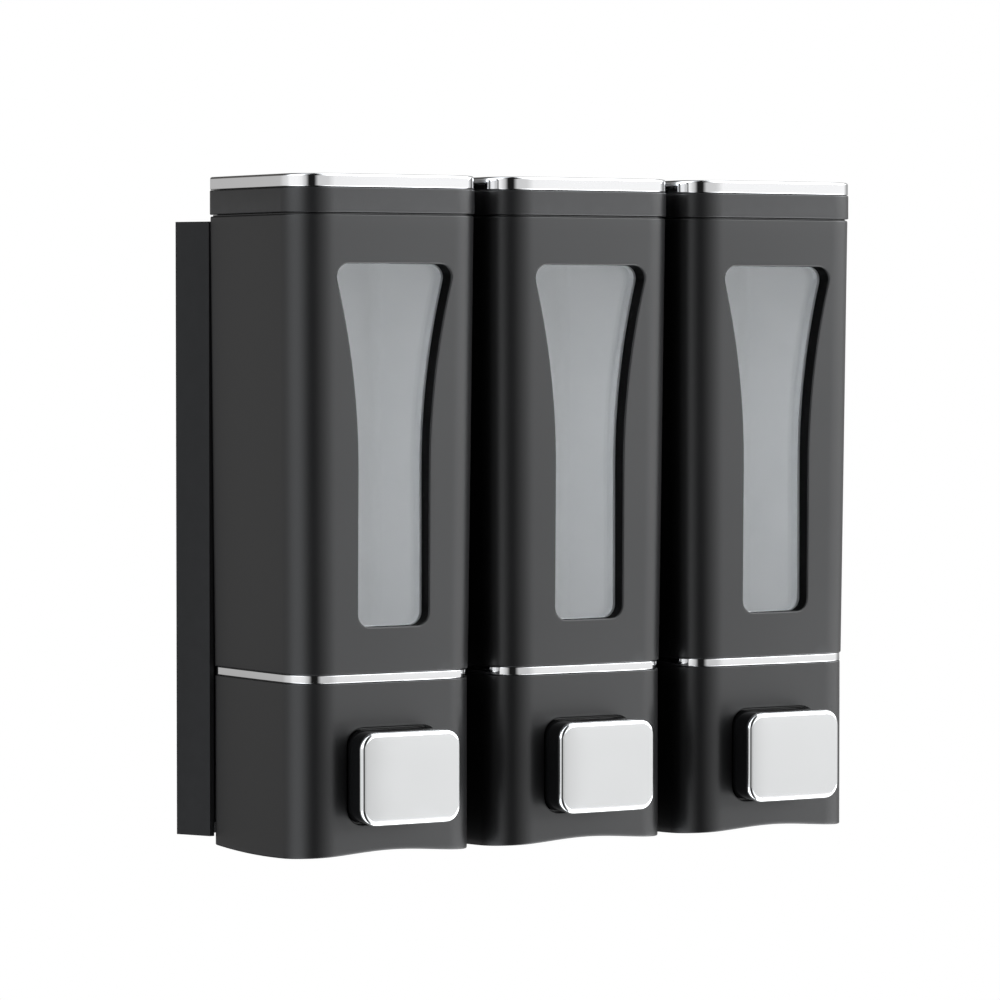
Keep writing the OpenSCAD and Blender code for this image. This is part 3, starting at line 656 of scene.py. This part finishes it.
def trim_band():
    low, high = BAND[0].z, BAND[1].z
    r, thick = 0.2, 2.0
    profile = [(low + d, inset) for d, inset in edge(r)]
    profile += [(high - d, inset) for d, inset in reversed(edge(r))]
    profile += [(high, thick), (low, thick)]
    return fit(ring_piece(profile, BAND[1].x - BAND[0].x, BAND[0].y, BAND[1].y), "trim_band")


def lid_trim():
    low, high = LID_TRIM[0].z, LID_TRIM[1].z
    wide, foot_r, brow_r = 3.0, 0.25, 0.7
    profile = [(low + d, inset) for d, inset in edge(foot_r)]
    profile += [(high - d, inset) for d, inset in reversed(edge(brow_r, 5))]
    profile += [(high, wide - 0.3), (high - 0.1, wide - 0.1), (high - 0.3, wide), (low, wide)]
    w = LID_TRIM[1].x - LID_TRIM[0].x
    return fit(ring_piece(profile, w, LID_TRIM[0].y, LID_TRIM[1].y), "lid_trim")


def lid_cap():
    trim_gap, panel_t, panel_inset, sunk, r = 0.1, 2.2, 3.1, 0.4, 0.3
    low, skirt_top = LID[0].z, LID_TRIM[0].z - trim_gap
    panel_z = skirt_top - panel_t
    top_z = LID_TRIM[1].z - sunk
    profile = [(panel_z, WALL), (low + r, WALL), (low, WALL - r)]
    profile += [(low + d, inset) for d, inset in edge(r)]
    profile += [(skirt_top - d, inset) for d, inset in reversed(edge(EDGE_R))]
    profile += [(skirt_top, panel_inset)]
    profile += [(top_z - d, panel_inset + inset) for d, inset in reversed(edge(r))]
    profile += [(top_z, panel_inset + 2)]
    piece = Piece()
    loops = loops_of(profile, LID[1].x - LID[0].x, LID[0].y, UNIT_D)
    piece.grid(loops, wrap=True)
    piece.cap(loops[0])
    piece.cap(loops[-1])
    knuckle_r = LID[1].y - HINGE_Y
    knuckle_half, rooted = 12.5, 1.0
    leaf = [(UNIT_D - rooted, HINGE_Z - rooted)]
    leaf += arc(HINGE_Y, HINGE_Z, knuckle_r, 205, 450, 20)
    leaf += [(UNIT_D - rooted, HINGE_Z + knuckle_r)]
    piece.extrude(leaf, -knuckle_half, knuckle_half)
    seal_gap = 0.1
    seal_pocket(piece, SEAL[1].z + seal_gap, panel_z)
    return fit(piece, "lid_cap")


def seal_pocket(piece, z0, z1):
    """The frame under the lid that presses the seal on the tank's rim."""
    wide, corner_r, c = 2.5, 5.0, 0.2
    profile = [(z1 + c, 0), (z0 + c, 0), (z0, c), (z0, wide - c), (z0 + c, wide), (z1 + c, wide)]
    w = SEAL[1].x - SEAL[0].x
    loops = loops_of(profile, w, SEAL[0].y, SEAL[1].y, corner_r, corner_r, 0, 0)
    piece.grid(loops + loops[:1], wrap=True)


# ---------------------------------------------------------------- window pane

def sight_window():
    piece = Piece()
    rings = []
    r = 0.3
    for depth, inset in edge(r):
        rings.append([(x, PANE[0].y + depth, z) for x, z in mirrored(window_half(PANE_LAP - inset))])
    for depth, inset in reversed(edge(r)):
        rings.append([(x, PANE[1].y - depth, z) for x, z in mirrored(window_half(PANE_LAP - inset))])
    piece.grid(rings, wrap=True)
    piece.cap(rings[0])
    piece.cap(rings[-1])
    return fit(piece, "sight_window")


# ---------------------------------------------------------------- push-button

CAP_W = CAP[1].x - CAP[0].x
CAP_H = CAP[1].z - CAP[0].z
CAP_R = 5.0
BUTTON_Z = (CAP[0].z + CAP[1].z) / 2
LIP_W = 1.5
LIP_T = 1.6
BLOCK_W = BLOCK[1].x - BLOCK[0].x - 2 * LIP_W
BLOCK_H = BLOCK[1].z - BLOCK[0].z - 2 * LIP_W
BLOCK_R = CAP_R - 0.2


def upright_ring(w, h, r, margin, y):
    """A rounded rectangle about the button's axis at a depth."""
    return [(x, y, z) for x, z in mirrored(rounded_half(w, h, r, BUTTON_Z, margin))]


def button_cap():
    face_r, back_r = 1.35, 0.3
    dome, across, upward = 0.9, 0.7, 0.08

    def face_y(x, z):
        reach = (x / (CAP_W / 2)) ** 4 * across + ((z - BUTTON_Z) / (CAP_H / 2)) ** 4 * upward
        return CAP[0].y + dome * reach

    piece = Piece()
    back = CAP[1].y
    rings = [upright_ring(CAP_W, CAP_H, CAP_R, -inset, back - d) for d, inset in edge(back_r)]
    for depth, inset in reversed(edge(face_r, 9)):
        flat = upright_ring(CAP_W, CAP_H, CAP_R, -inset, 0)
        rings.append([(x, face_y(x, z) + depth, z) for x, _, z in flat])
    last = rings[-1]
    for share in (0.93, 0.82, 0.68, 0.54, 0.4, 0.26, 0.12):
        ring = [(x * share, BUTTON_Z + (z - BUTTON_Z) * share) for x, _, z in last]
        rings.append([(x, face_y(x, z), z) for x, z in ring])
    piece.grid(rings, wrap=True)
    piece.cap(rings[0])
    piece.cap(rings[-1])
    return fit(piece, "button_cap", sharp_deg=50)


def button_block():
    lip_gap, wall, front_r = 0.1, 2.0, 0.4
    lip_y = LOWER[0].y + WALL + lip_gap
    front, end = BLOCK[0].y, BLOCK[1].y
    profile = [(front + d, -inset) for d, inset in edge(front_r)]
    profile += [(y, 0) for y in spread(front + 0.5, lip_y - 0.2, 4)]
    profile += [(lip_y, 0.1), (lip_y, LIP_W), (lip_y + LIP_T, LIP_W), (lip_y + LIP_T, 0), (end - 0.3, 0)]
    profile += [(end, -0.3), (end, 0.3 - wall), (end - 0.3, -wall), (front + wall, -wall)]
    rings = [upright_ring(BLOCK_W, BLOCK_H, BLOCK_R, margin, y) for y, margin in profile]
    piece = Piece()
    piece.grid(rings, wrap=True)
    piece.cap(rings[0])
    piece.cap(rings[-1])
    return fit(piece, "button_block")


def return_spring():
    """A coil with closed ends."""
    wire_r, turns, ring_steps, wire_sides = 0.6, 6.5, 40, 12
    closed_turns, closed_pitch = 0.9, 1.25
    coil_r = (SPRING[1].x - SPRING[0].x) / 2 - wire_r
    first, last = SPRING[0].y + wire_r, SPRING[1].y - wire_r
    piece = Piece()
    rings = []
    steps = round(turns * ring_steps)
    for k in range(steps + 1):
        turn = k / ring_steps
        share = min(max((turn - closed_turns) / (turns - 2 * closed_turns), 0.0), 1.0)
        end_rise = closed_pitch * (min(turn, closed_turns) + max(turn - turns + closed_turns, 0.0))
        room = last - first - 2 * closed_pitch * closed_turns
        y = first + end_rise + share * room
        a = 2 * math.pi * turn
        ring = []
        for j in range(wire_sides):
            b = 2 * math.pi * j / wire_sides
            r = coil_r + wire_r * math.cos(b)
            ring.append((r * math.cos(a), y + wire_r * math.sin(b), BUTTON_Z + r * math.sin(a)))
        rings.append(ring)
    piece.grid(rings, wrap=True)
    piece.cap(rings[0])
    piece.cap(rings[-1])
    for side, obj in zip(SIDES, fit(piece, "return_spring", sharp_deg=60)):
        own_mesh(obj)


# ---------------------------------------------------------------- shared surface effects

def new_group(name, inputs, outputs):
    """An empty shader node group with named inputs and outputs."""
    group = bpy.data.node_groups.new(name, "ShaderNodeTree")
    for label, kind, value in inputs:
        socket = group.interface.new_socket(label, in_out="INPUT", socket_type=kind)
        socket.default_value = value
    for label, kind in outputs:
        group.interface.new_socket(label, in_out="OUTPUT", socket_type=kind)
    return group, group.nodes.new("NodeGroupInput"), group.nodes.new("NodeGroupOutput")


def math_node(nodes, links, operation, a, b):
    """A Math node of two inputs, each a socket or a number."""
    node = nodes.new("ShaderNodeMath")
    node.operation = operation
    for socket, value in zip(node.inputs, (a, b)):
        if isinstance(value, (int, float)):
            socket.default_value = value
        else:
            links.new(value, socket)
    return node.outputs[0]


def noise_node(nodes, links, scale, detail, roughness=0.5):
    """Noise in the part's own space. scale is a socket or a number, in cells per metre."""
    place = nodes.new("ShaderNodeTexCoord")
    node = nodes.new("ShaderNodeTexNoise")
    node.inputs["Detail"].default_value = detail
    node.inputs["Roughness"].default_value = roughness
    links.new(place.outputs["Object"], node.inputs["Vector"])
    if isinstance(scale, (int, float)):
        node.inputs["Scale"].default_value = scale
    else:
        links.new(scale, node.inputs["Scale"])
    return node.outputs["Fac"]


def make_mould_grain():
    """The fine eroded grain of a mould: a height, and a shade that wanders slowly across the piece."""
    group, given, out = new_group(
        "mould_grain",
        [("Cells per metre", "NodeSocketFloat", 1500.0), ("Patch scale", "NodeSocketFloat", 22.0)],
        [("Height", "NodeSocketFloat"), ("Shade", "NodeSocketFloat")],
    )
    nodes, links = group.nodes, group.links
    fine = noise_node(nodes, links, given.outputs["Cells per metre"], 3.0, 0.6)
    patch = noise_node(nodes, links, given.outputs["Patch scale"], 2.0)
    links.new(fine, out.inputs["Height"])
    links.new(math_node(nodes, links, "ADD", math_node(nodes, links, "MULTIPLY", fine, 0.35),
                        math_node(nodes, links, "MULTIPLY", patch, 0.65)), out.inputs["Shade"])
    return group


def make_painted_edge_sheen():
    """A mask that is bright along outer edges, broken up by noise, for a painted highlight there."""
    group, given, out = new_group(
        "painted_edge_sheen",
        [("Amount", "NodeSocketFloat", 0.5)],
        [("Mask", "NodeSocketFloat")],
    )
    nodes, links = group.nodes, group.links
    flat, steepness = 0.52, 12.0
    geometry = nodes.new("ShaderNodeNewGeometry")
    lift = math_node(nodes, links, "SUBTRACT", geometry.outputs["Pointiness"], flat)
    sharp = math_node(nodes, links, "MULTIPLY", lift, steepness)
    clamp = nodes.new("ShaderNodeClamp")
    links.new(sharp, clamp.inputs["Value"])
    broken = math_node(nodes, links, "MULTIPLY", clamp.outputs[0], noise_node(nodes, links, 260.0, 4.0))
    links.new(math_node(nodes, links, "MULTIPLY", broken, given.outputs["Amount"]), out.inputs["Mask"])
    return group


def make_hand_film():
    """A mask of the thin uneven film that wet hands and wiping leave on a bright or glossy surface."""
    group, given, out = new_group(
        "hand_film",
        [("Smear scale", "NodeSocketFloat", 45.0)],
        [("Mask", "NodeSocketFloat")],
    )
    nodes, links = group.nodes, group.links
    smear = noise_node(nodes, links, given.outputs["Smear scale"], 5.0, 0.62)
    ramp = nodes.new("ShaderNodeValToRGB")
    ramp.color_ramp.elements[0].position = 0.42
    ramp.color_ramp.elements[1].position = 0.72
    links.new(smear, ramp.inputs["Fac"])
    links.new(ramp.outputs["Color"], out.inputs["Mask"])
    return group


MOULD_GRAIN = make_mould_grain()
# A painted highlight along outer edges, shared by the plastics and the plating
PAINTED_EDGE_SHEEN = make_painted_edge_sheen()
HAND_FILM = make_hand_film()


# ---------------------------------------------------------------- finishes

class Finish:
    """One material, its Principled shader and short ways to add to it."""

    def __init__(self, name):
        self.mat = bpy.data.materials.new(name)
        self.mat.use_nodes = True
        self.nodes, self.links = self.mat.node_tree.nodes, self.mat.node_tree.links
        self.shader = self.nodes["Principled BSDF"]

    def set(self, **values):
        """Constants on the shader's sockets. An underscore stands for a space."""
        for label, value in values.items():
            self.shader.inputs[label.replace("_", " ")].default_value = value

    def group(self, tree, **values):
        """A shared effect with its inputs set."""
        node = self.nodes.new("ShaderNodeGroup")
        node.node_tree = tree
        for label, value in values.items():
            node.inputs[label.replace("_", " ")].default_value = value
        return node

    def colours(self, mask, dark, light):
        """A colour that runs from dark to light as mask goes from 0 to 1."""
        mix = self.nodes.new("ShaderNodeMix")
        mix.data_type = "RGBA"
        mix.inputs["A"].default_value = (*dark, 1)
        mix.inputs["B"].default_value = (*light, 1)
        self.links.new(mask, mix.inputs["Factor"])
        return mix.outputs["Result"]

    def paint_highlight(self, colour, mask, light):
        """A painted highlight: a lighter colour over another where mask is bright."""
        mix = self.nodes.new("ShaderNodeMix")
        mix.data_type = "RGBA"
        mix.inputs["B"].default_value = (*light, 1)
        self.links.new(colour, mix.inputs["A"])
        self.links.new(mask, mix.inputs["Factor"])
        return mix.outputs["Result"]

    def base(self, colour):
        self.links.new(colour, self.shader.inputs["Base Color"])

    def roughness(self, mask, low, high):
        """Roughness that runs from low to high as mask goes from 0 to 1."""
        span = self.nodes.new("ShaderNodeMapRange")
        span.inputs["To Min"].default_value = low
        span.inputs["To Max"].default_value = high
        self.links.new(mask, span.inputs["Value"])
        self.links.new(span.outputs["Result"], self.shader.inputs["Roughness"])

    def bump(self, height, depth):
        """Relief from a height of 0 to 1, depth metres deep."""
        node = self.nodes.new("ShaderNodeBump")
        node.inputs["Strength"].default_value = 1.0
        node.inputs["Distance"].default_value = depth
        self.links.new(height, node.inputs["Height"])
        self.links.new(node.outputs["Normal"], self.shader.inputs["Normal"])


def moulded_plastic(name, dark, light, edge_highlight, rough, grain_m, depth, specular=0.5, film=False):
    """Moulded plastic: wandering shade, eroded grain and a painted highlight along its edges, with or
    without a film.
    """
    made = Finish(name)
    made.set(Specular_IOR_Level=specular, IOR=1.5)
    grain = made.group(MOULD_GRAIN, Cells_per_metre=1 / grain_m)
    # Painted highlight: the colour turns lighter along the outer edges
    edges = made.group(PAINTED_EDGE_SHEEN, Amount=0.5)
    shade = made.colours(grain.outputs["Shade"], dark, light)
    made.base(made.paint_highlight(shade, edges.outputs["Mask"], edge_highlight))
    if film:
        made.roughness(made.group(HAND_FILM).outputs["Mask"], *rough)
    else:
        made.roughness(grain.outputs["Shade"], *rough)
    made.bump(grain.outputs["Height"], depth)
    return made.mat


def black_satin():
    return moulded_plastic("satin_black_moulding", (0.0045, 0.0045, 0.0047), (0.0065, 0.0064, 0.0068),
                           (0.03, 0.03, 0.032), (0.30, 0.36), 0.0007, 0.000006)


def painted_recess_shade():
    """A darker, duller copy of the casing's black for the window openings' walls: painted shade in the
    recess.
    """
    return moulded_plastic("matt_black_painted_recess_shade", (0.002, 0.002, 0.0021), (0.003, 0.003, 0.0031),
                           (0.01, 0.01, 0.0105), (0.6, 0.7), 0.0009, 0.000008, specular=0.06)


def plate_black():
    return moulded_plastic("grained_black_moulding", (0.0065, 0.0064, 0.0066), (0.0095, 0.0094, 0.0098),
                           (0.02, 0.02, 0.021), (0.56, 0.66), 0.0009, 0.000012, specular=0.18)


def black_gloss():
    return moulded_plastic("gloss_black_moulding", (0.004, 0.004, 0.0042), (0.006, 0.006, 0.0064),
                           (0.02, 0.02, 0.021), (0.11, 0.2), 0.0012, 0.0000015, film=True)


def plated(name, tint, low, high, wave_m, depth):
    """Plating over a moulding: a faint film, and the long slight waves of the plastic below."""
    made = Finish(name)
    made.set(Metallic=1.0)
    smear = made.group(HAND_FILM)
    shade = made.colours(smear.outputs["Mask"], tint, tuple(0.985 * c for c in tint))
    # Painted highlight along the plating's outer edges
    edges = made.group(PAINTED_EDGE_SHEEN, Amount=0.12)
    made.base(made.paint_highlight(shade, edges.outputs["Mask"], (0.97, 0.97, 0.97)))
    made.roughness(smear.outputs["Mask"], low, high)
    waves = made.group(MOULD_GRAIN, Cells_per_metre=1 / wave_m)
    made.bump(waves.outputs["Height"], depth)
    return made.mat


def chrome_trim():
    return plated("bright_chrome_plating", (0.885, 0.89, 0.9), 0.045, 0.08, 0.02, 0.000004)


def chrome_button():
    return plated("satin_chrome_plating", (0.8, 0.81, 0.815), 0.1, 0.125, 0.018, 0.000003)


def clear_pane():
    """Clear pane that light from the studio passes through to the tank."""
    made = Finish("clear_pane_moulding")
    made.set(Transmission_Weight=1.0, IOR=1.49, Specular_IOR_Level=0.5)
    smear = made.group(HAND_FILM, Smear_scale=60.0)
    made.base(made.colours(smear.outputs["Mask"], (0.97, 0.98, 0.985), (0.94, 0.955, 0.96)))
    made.roughness(smear.outputs["Mask"], 0.0, 0.03)
    passing = made.nodes.new("ShaderNodeBsdfTransparent")
    passing.inputs["Color"].default_value = (0.94, 0.95, 0.955, 1)
    rays = made.nodes.new("ShaderNodeLightPath")
    mix = made.nodes.new("ShaderNodeMixShader")
    made.links.new(rays.outputs["Is Shadow Ray"], mix.inputs["Fac"])
    made.links.new(made.shader.outputs["BSDF"], mix.inputs[1])
    made.links.new(passing.outputs["BSDF"], mix.inputs[2])
    made.links.new(mix.outputs["Shader"], made.nodes["Material Output"].inputs["Surface"])
    return made.mat


def pale_tank():
    """Pale moulding with a painted glow: faint emission that stands in for the light reaching the tank's
    inside.
    """
    made = Finish("pale_tank_painted_glow")
    # The emission is painted light: the tank glows though it is no lamp
    made.set(Specular_IOR_Level=0.4, Emission_Color=(0.86, 0.88, 0.9, 1), Emission_Strength=0.048)
    grain = made.group(MOULD_GRAIN, Cells_per_metre=900.0, Patch_scale=14.0)
    made.base(made.colours(grain.outputs["Shade"], (0.84, 0.845, 0.85), (0.90, 0.905, 0.91)))
    made.roughness(grain.outputs["Shade"], 0.38, 0.5)
    made.bump(grain.outputs["Height"], 0.000008)
    return made.mat


def white_plastic():
    return moulded_plastic("natural_white_moulding", (0.68, 0.69, 0.69), (0.8, 0.8, 0.79),
                           (0.86, 0.86, 0.86), (0.34, 0.45), 0.0009, 0.000008)


def seal_rubber():
    return moulded_plastic("moulded_seal_rubber", (0.03, 0.03, 0.031), (0.05, 0.05, 0.051),
                           (0.09, 0.09, 0.09), (0.6, 0.74), 0.0006, 0.00001, specular=0.35)


def steel():
    """Drawn steel with fine lines along its length."""
    made = Finish("drawn_steel")
    made.set(Metallic=1.0)
    smear = made.group(HAND_FILM, Smear_scale=300.0)
    made.base(made.colours(smear.outputs["Mask"], (0.56, 0.56, 0.57), (0.46, 0.455, 0.45)))
    made.roughness(smear.outputs["Mask"], 0.2, 0.38)
    lines = made.group(MOULD_GRAIN, Cells_per_metre=5000.0)
    made.bump(lines.outputs["Height"], 0.000004)
    return made.mat


FINISH = {
    "black_satin": black_satin(), "plate_black": plate_black(), "black_gloss": black_gloss(),
    "chrome_trim": chrome_trim(), "chrome_button": chrome_button(), "clear_pane": clear_pane(),
    "pale_tank": pale_tank(), "white_plastic": white_plastic(), "seal_rubber": seal_rubber(),
    "steel": steel(),
}
# A darker copy of the casing's black, painted shade for the window's recess walls
PAINTED_RECESS_SHADE = painted_recess_shade()


def finish_cad_nodes():
    """Gives every CAD node its finish, and the wall plate soft edges."""
    for name, obj in frame["nodes"].items():
        obj.data.materials.clear()
        obj.data.materials.append(FINISH[SLOT[name]])
    plate = frame["nodes"]["wall_plate"]
    weld = plate.modifiers.new("weld", "WELD")
    weld.merge_threshold = 1e-6
    soften = plate.modifiers.new("soft_edges", "BEVEL")
    soften.width = 0.0004
    soften.segments = 2
    soften.limit_method = "ANGLE"
    soften.angle_limit = math.radians(40)


# ---------------------------------------------------------------- studio and camera

# Light by direction, as (azimuth in degrees, brightness, warmth). Two tall soft boxes with a dark
# gap between them are seen in the plated edges. This is the band at the part's own level.
LEVEL_LIGHT = [
    (-180, 0.45, 0.01), (-150, 0.5, 0.01), (-132, 0.7, 0), (-115, 0.81, 0), (-106, 1.04, 0),
    (-80, 1.04, 0), (-67, 0.94, 0), (-55, 0.58, 0), (-46, 0.012, 0), (-30, 0.012, 0), (-19, 0.66, 0),
    (10, 0.7, 0), (22, 0.84, 0), (31, 1.02, 0), (90, 1.04, 0), (110, 0.4, 0), (180, 0.45, 0.01),
]
# The same boxes above and below that band, where they are at their full strength
STUDIO_LIGHT = [
    (-180, 0.12, 0.04), (-150, 0.12, 0.04), (-134, 0.18, 0.01), (-121, 0.7, -0.02), (-107, 3.3, -0.04),
    (-80, 4.9, -0.04), (-68, 2.4, -0.03), (-57, 0.5, 0), (-47, 0.02, 0), (-20, 0.02, 0), (-10, 0.7, 0),
    (5, 2.6, -0.02), (30, 5.4, -0.02), (55, 8.0, -0.02), (85, 6.5, -0.015), (110, 0.8, 0), (150, 0.3, 0),
    (180, 0.12, 0.04),
]
# How the light changes from straight below, 0, to straight above, 1
RISES = [
    (0.0, 0.6), (0.22, 0.7), (0.36, 0.55), (0.44, 0.82), (0.5, 1.0), (0.58, 1.0), (0.75, 0.55), (1.0, 0.45),
]
# The level band, as sines of angles: how far it lies below the horizon, and where it fades out
LEVEL_DROP = 0.035
LEVEL_FADE = (0.1, 0.19)


def ramp_of(nodes, links, value, stops):
    """A colour ramp whose stops are (position, colour)."""
    ramp = nodes.new("ShaderNodeValToRGB")
    elements = ramp.color_ramp.elements
    while len(elements) < len(stops):
        elements.new(0.5)
    for element, (position, colour) in zip(elements, stops):
        element.position = position
        element.color = (*colour, 1)
    links.new(value, ramp.inputs["Fac"])
    return ramp.outputs["Color"]


def light_round(nodes, links, azimuth, lights):
    """The ramp of a list of lights by direction."""
    stops = [
        ((angle + 180) / 360, (bright * (1 + warm), bright, bright * (1 - warm)))
        for angle, bright, warm in lights
    ]
    return ramp_of(nodes, links, azimuth, stops)


def half_up(nodes, links, value, scale):
    """value * scale + 0.5"""
    return math_node(nodes, links, "ADD", math_node(nodes, links, "MULTIPLY", value, scale), 0.5)


def studio():
    """A white surround for the camera, and soft boxes for everything that it lights."""
    world = bpy.data.worlds.new("studio")
    bpy.context.scene.world = world
    world.use_nodes = True
    nodes, links = world.node_tree.nodes, world.node_tree.links
    nodes.clear()
    direction = nodes.new("ShaderNodeTexCoord").outputs["Generated"]
    parts = nodes.new("ShaderNodeSeparateXYZ")
    links.new(direction, parts.inputs[0])
    forward = math_node(nodes, links, "MULTIPLY", parts.outputs["Y"], -1.0)
    turn = math_node(nodes, links, "ARCTAN2", parts.outputs["X"], forward)
    azimuth = half_up(nodes, links, turn, 0.5 / math.pi)
    level = light_round(nodes, links, azimuth, LEVEL_LIGHT)
    full = light_round(nodes, links, azimuth, STUDIO_LIGHT)
    height = parts.outputs["Z"]
    away = nodes.new("ShaderNodeMapRange")
    away.interpolation_type = "SMOOTHSTEP"
    away.inputs["From Min"].default_value, away.inputs["From Max"].default_value = LEVEL_FADE
    below = math_node(nodes, links, "ADD", height, LEVEL_DROP)
    links.new(math_node(nodes, links, "ABSOLUTE", below, 0.0), away.inputs["Value"])
    around = nodes.new("ShaderNodeMix")
    around.data_type = "RGBA"
    links.new(away.outputs["Result"], around.inputs["Factor"])
    links.new(level, around.inputs["A"])
    links.new(full, around.inputs["B"])
    rises = [(share, (bright, bright, bright)) for share, bright in RISES]
    vertical = ramp_of(nodes, links, half_up(nodes, links, height, 0.5), rises)
    dimmed = nodes.new("ShaderNodeMix")
    dimmed.data_type = "RGBA"
    dimmed.blend_type = "MULTIPLY"
    dimmed.inputs["Factor"].default_value = 1.0
    links.new(around.outputs["Result"], dimmed.inputs["A"])
    links.new(vertical, dimmed.inputs["B"])
    seen = nodes.new("ShaderNodeBackground")
    seen.inputs["Color"].default_value = (1, 1, 1, 1)
    lit = nodes.new("ShaderNodeBackground")
    links.new(dimmed.outputs["Result"], lit.inputs["Color"])
    rays = nodes.new("ShaderNodeLightPath")
    mix = nodes.new("ShaderNodeMixShader")
    links.new(rays.outputs["Is Camera Ray"], mix.inputs["Fac"])
    links.new(lit.outputs["Background"], mix.inputs[1])
    links.new(seen.outputs["Background"], mix.inputs[2])
    out = nodes.new("ShaderNodeOutputWorld")
    links.new(mix.outputs["Shader"], out.inputs["Surface"])


def floor():
    """A pale floor well below the part. It takes no part in the lighting."""
    drop, half = 0.5, 6.0
    z = cad_box[0][2] - drop
    corners = [(-half, -half, z), (half, -half, z), (half, half, z), (-half, half, z)]
    mesh = bpy.data.meshes.new("floor")
    mesh.from_pydata(corners, [], [(0, 1, 2, 3)])
    obj = bpy.data.objects.new("floor", mesh)
    bpy.context.scene.collection.objects.link(obj)
    mat = bpy.data.materials.new("pale_floor")
    mat.use_nodes = True
    nodes, links = mat.node_tree.nodes, mat.node_tree.links
    glow = nodes.new("ShaderNodeEmission")
    glow.inputs["Color"].default_value = (1, 1, 1, 1)
    links.new(glow.outputs["Emission"], nodes["Material Output"].inputs["Surface"])
    obj.data.materials.append(mat)
    for ray in ("diffuse", "glossy", "transmission", "shadow"):
        setattr(obj, "visible_" + ray, False)


def camera():
    """A long lens from the left of the front, a little above the middle."""
    aim = Vector((-0.0121, -0.034, 0.008))
    azimuth, drop, distance = 0.562587, 0.035961, 1.5419
    level = math.cos(drop)
    look = Vector((math.sin(azimuth) * level, math.cos(azimuth) * level, -math.sin(drop)))
    lens = bpy.data.cameras.new("camera")
    lens.lens = 178.2
    lens.sensor_width = 36.0
    lens.clip_start = 0.05
    obj = bpy.data.objects.new("camera", lens)
    bpy.context.scene.collection.objects.link(obj)
    obj.location = aim - look * distance
    obj.rotation_euler = (math.pi / 2 - drop, 0, -azimuth)
    bpy.context.scene.camera = obj


finish_cad_nodes()
upper_casing()
lower_casing()
trim_band()
lid_cap()
lid_trim()
sight_window()
button_cap()
button_block()
return_spring()
studio()
floor()
camera()
bpy.context.scene.view_settings.view_transform = "Standard"
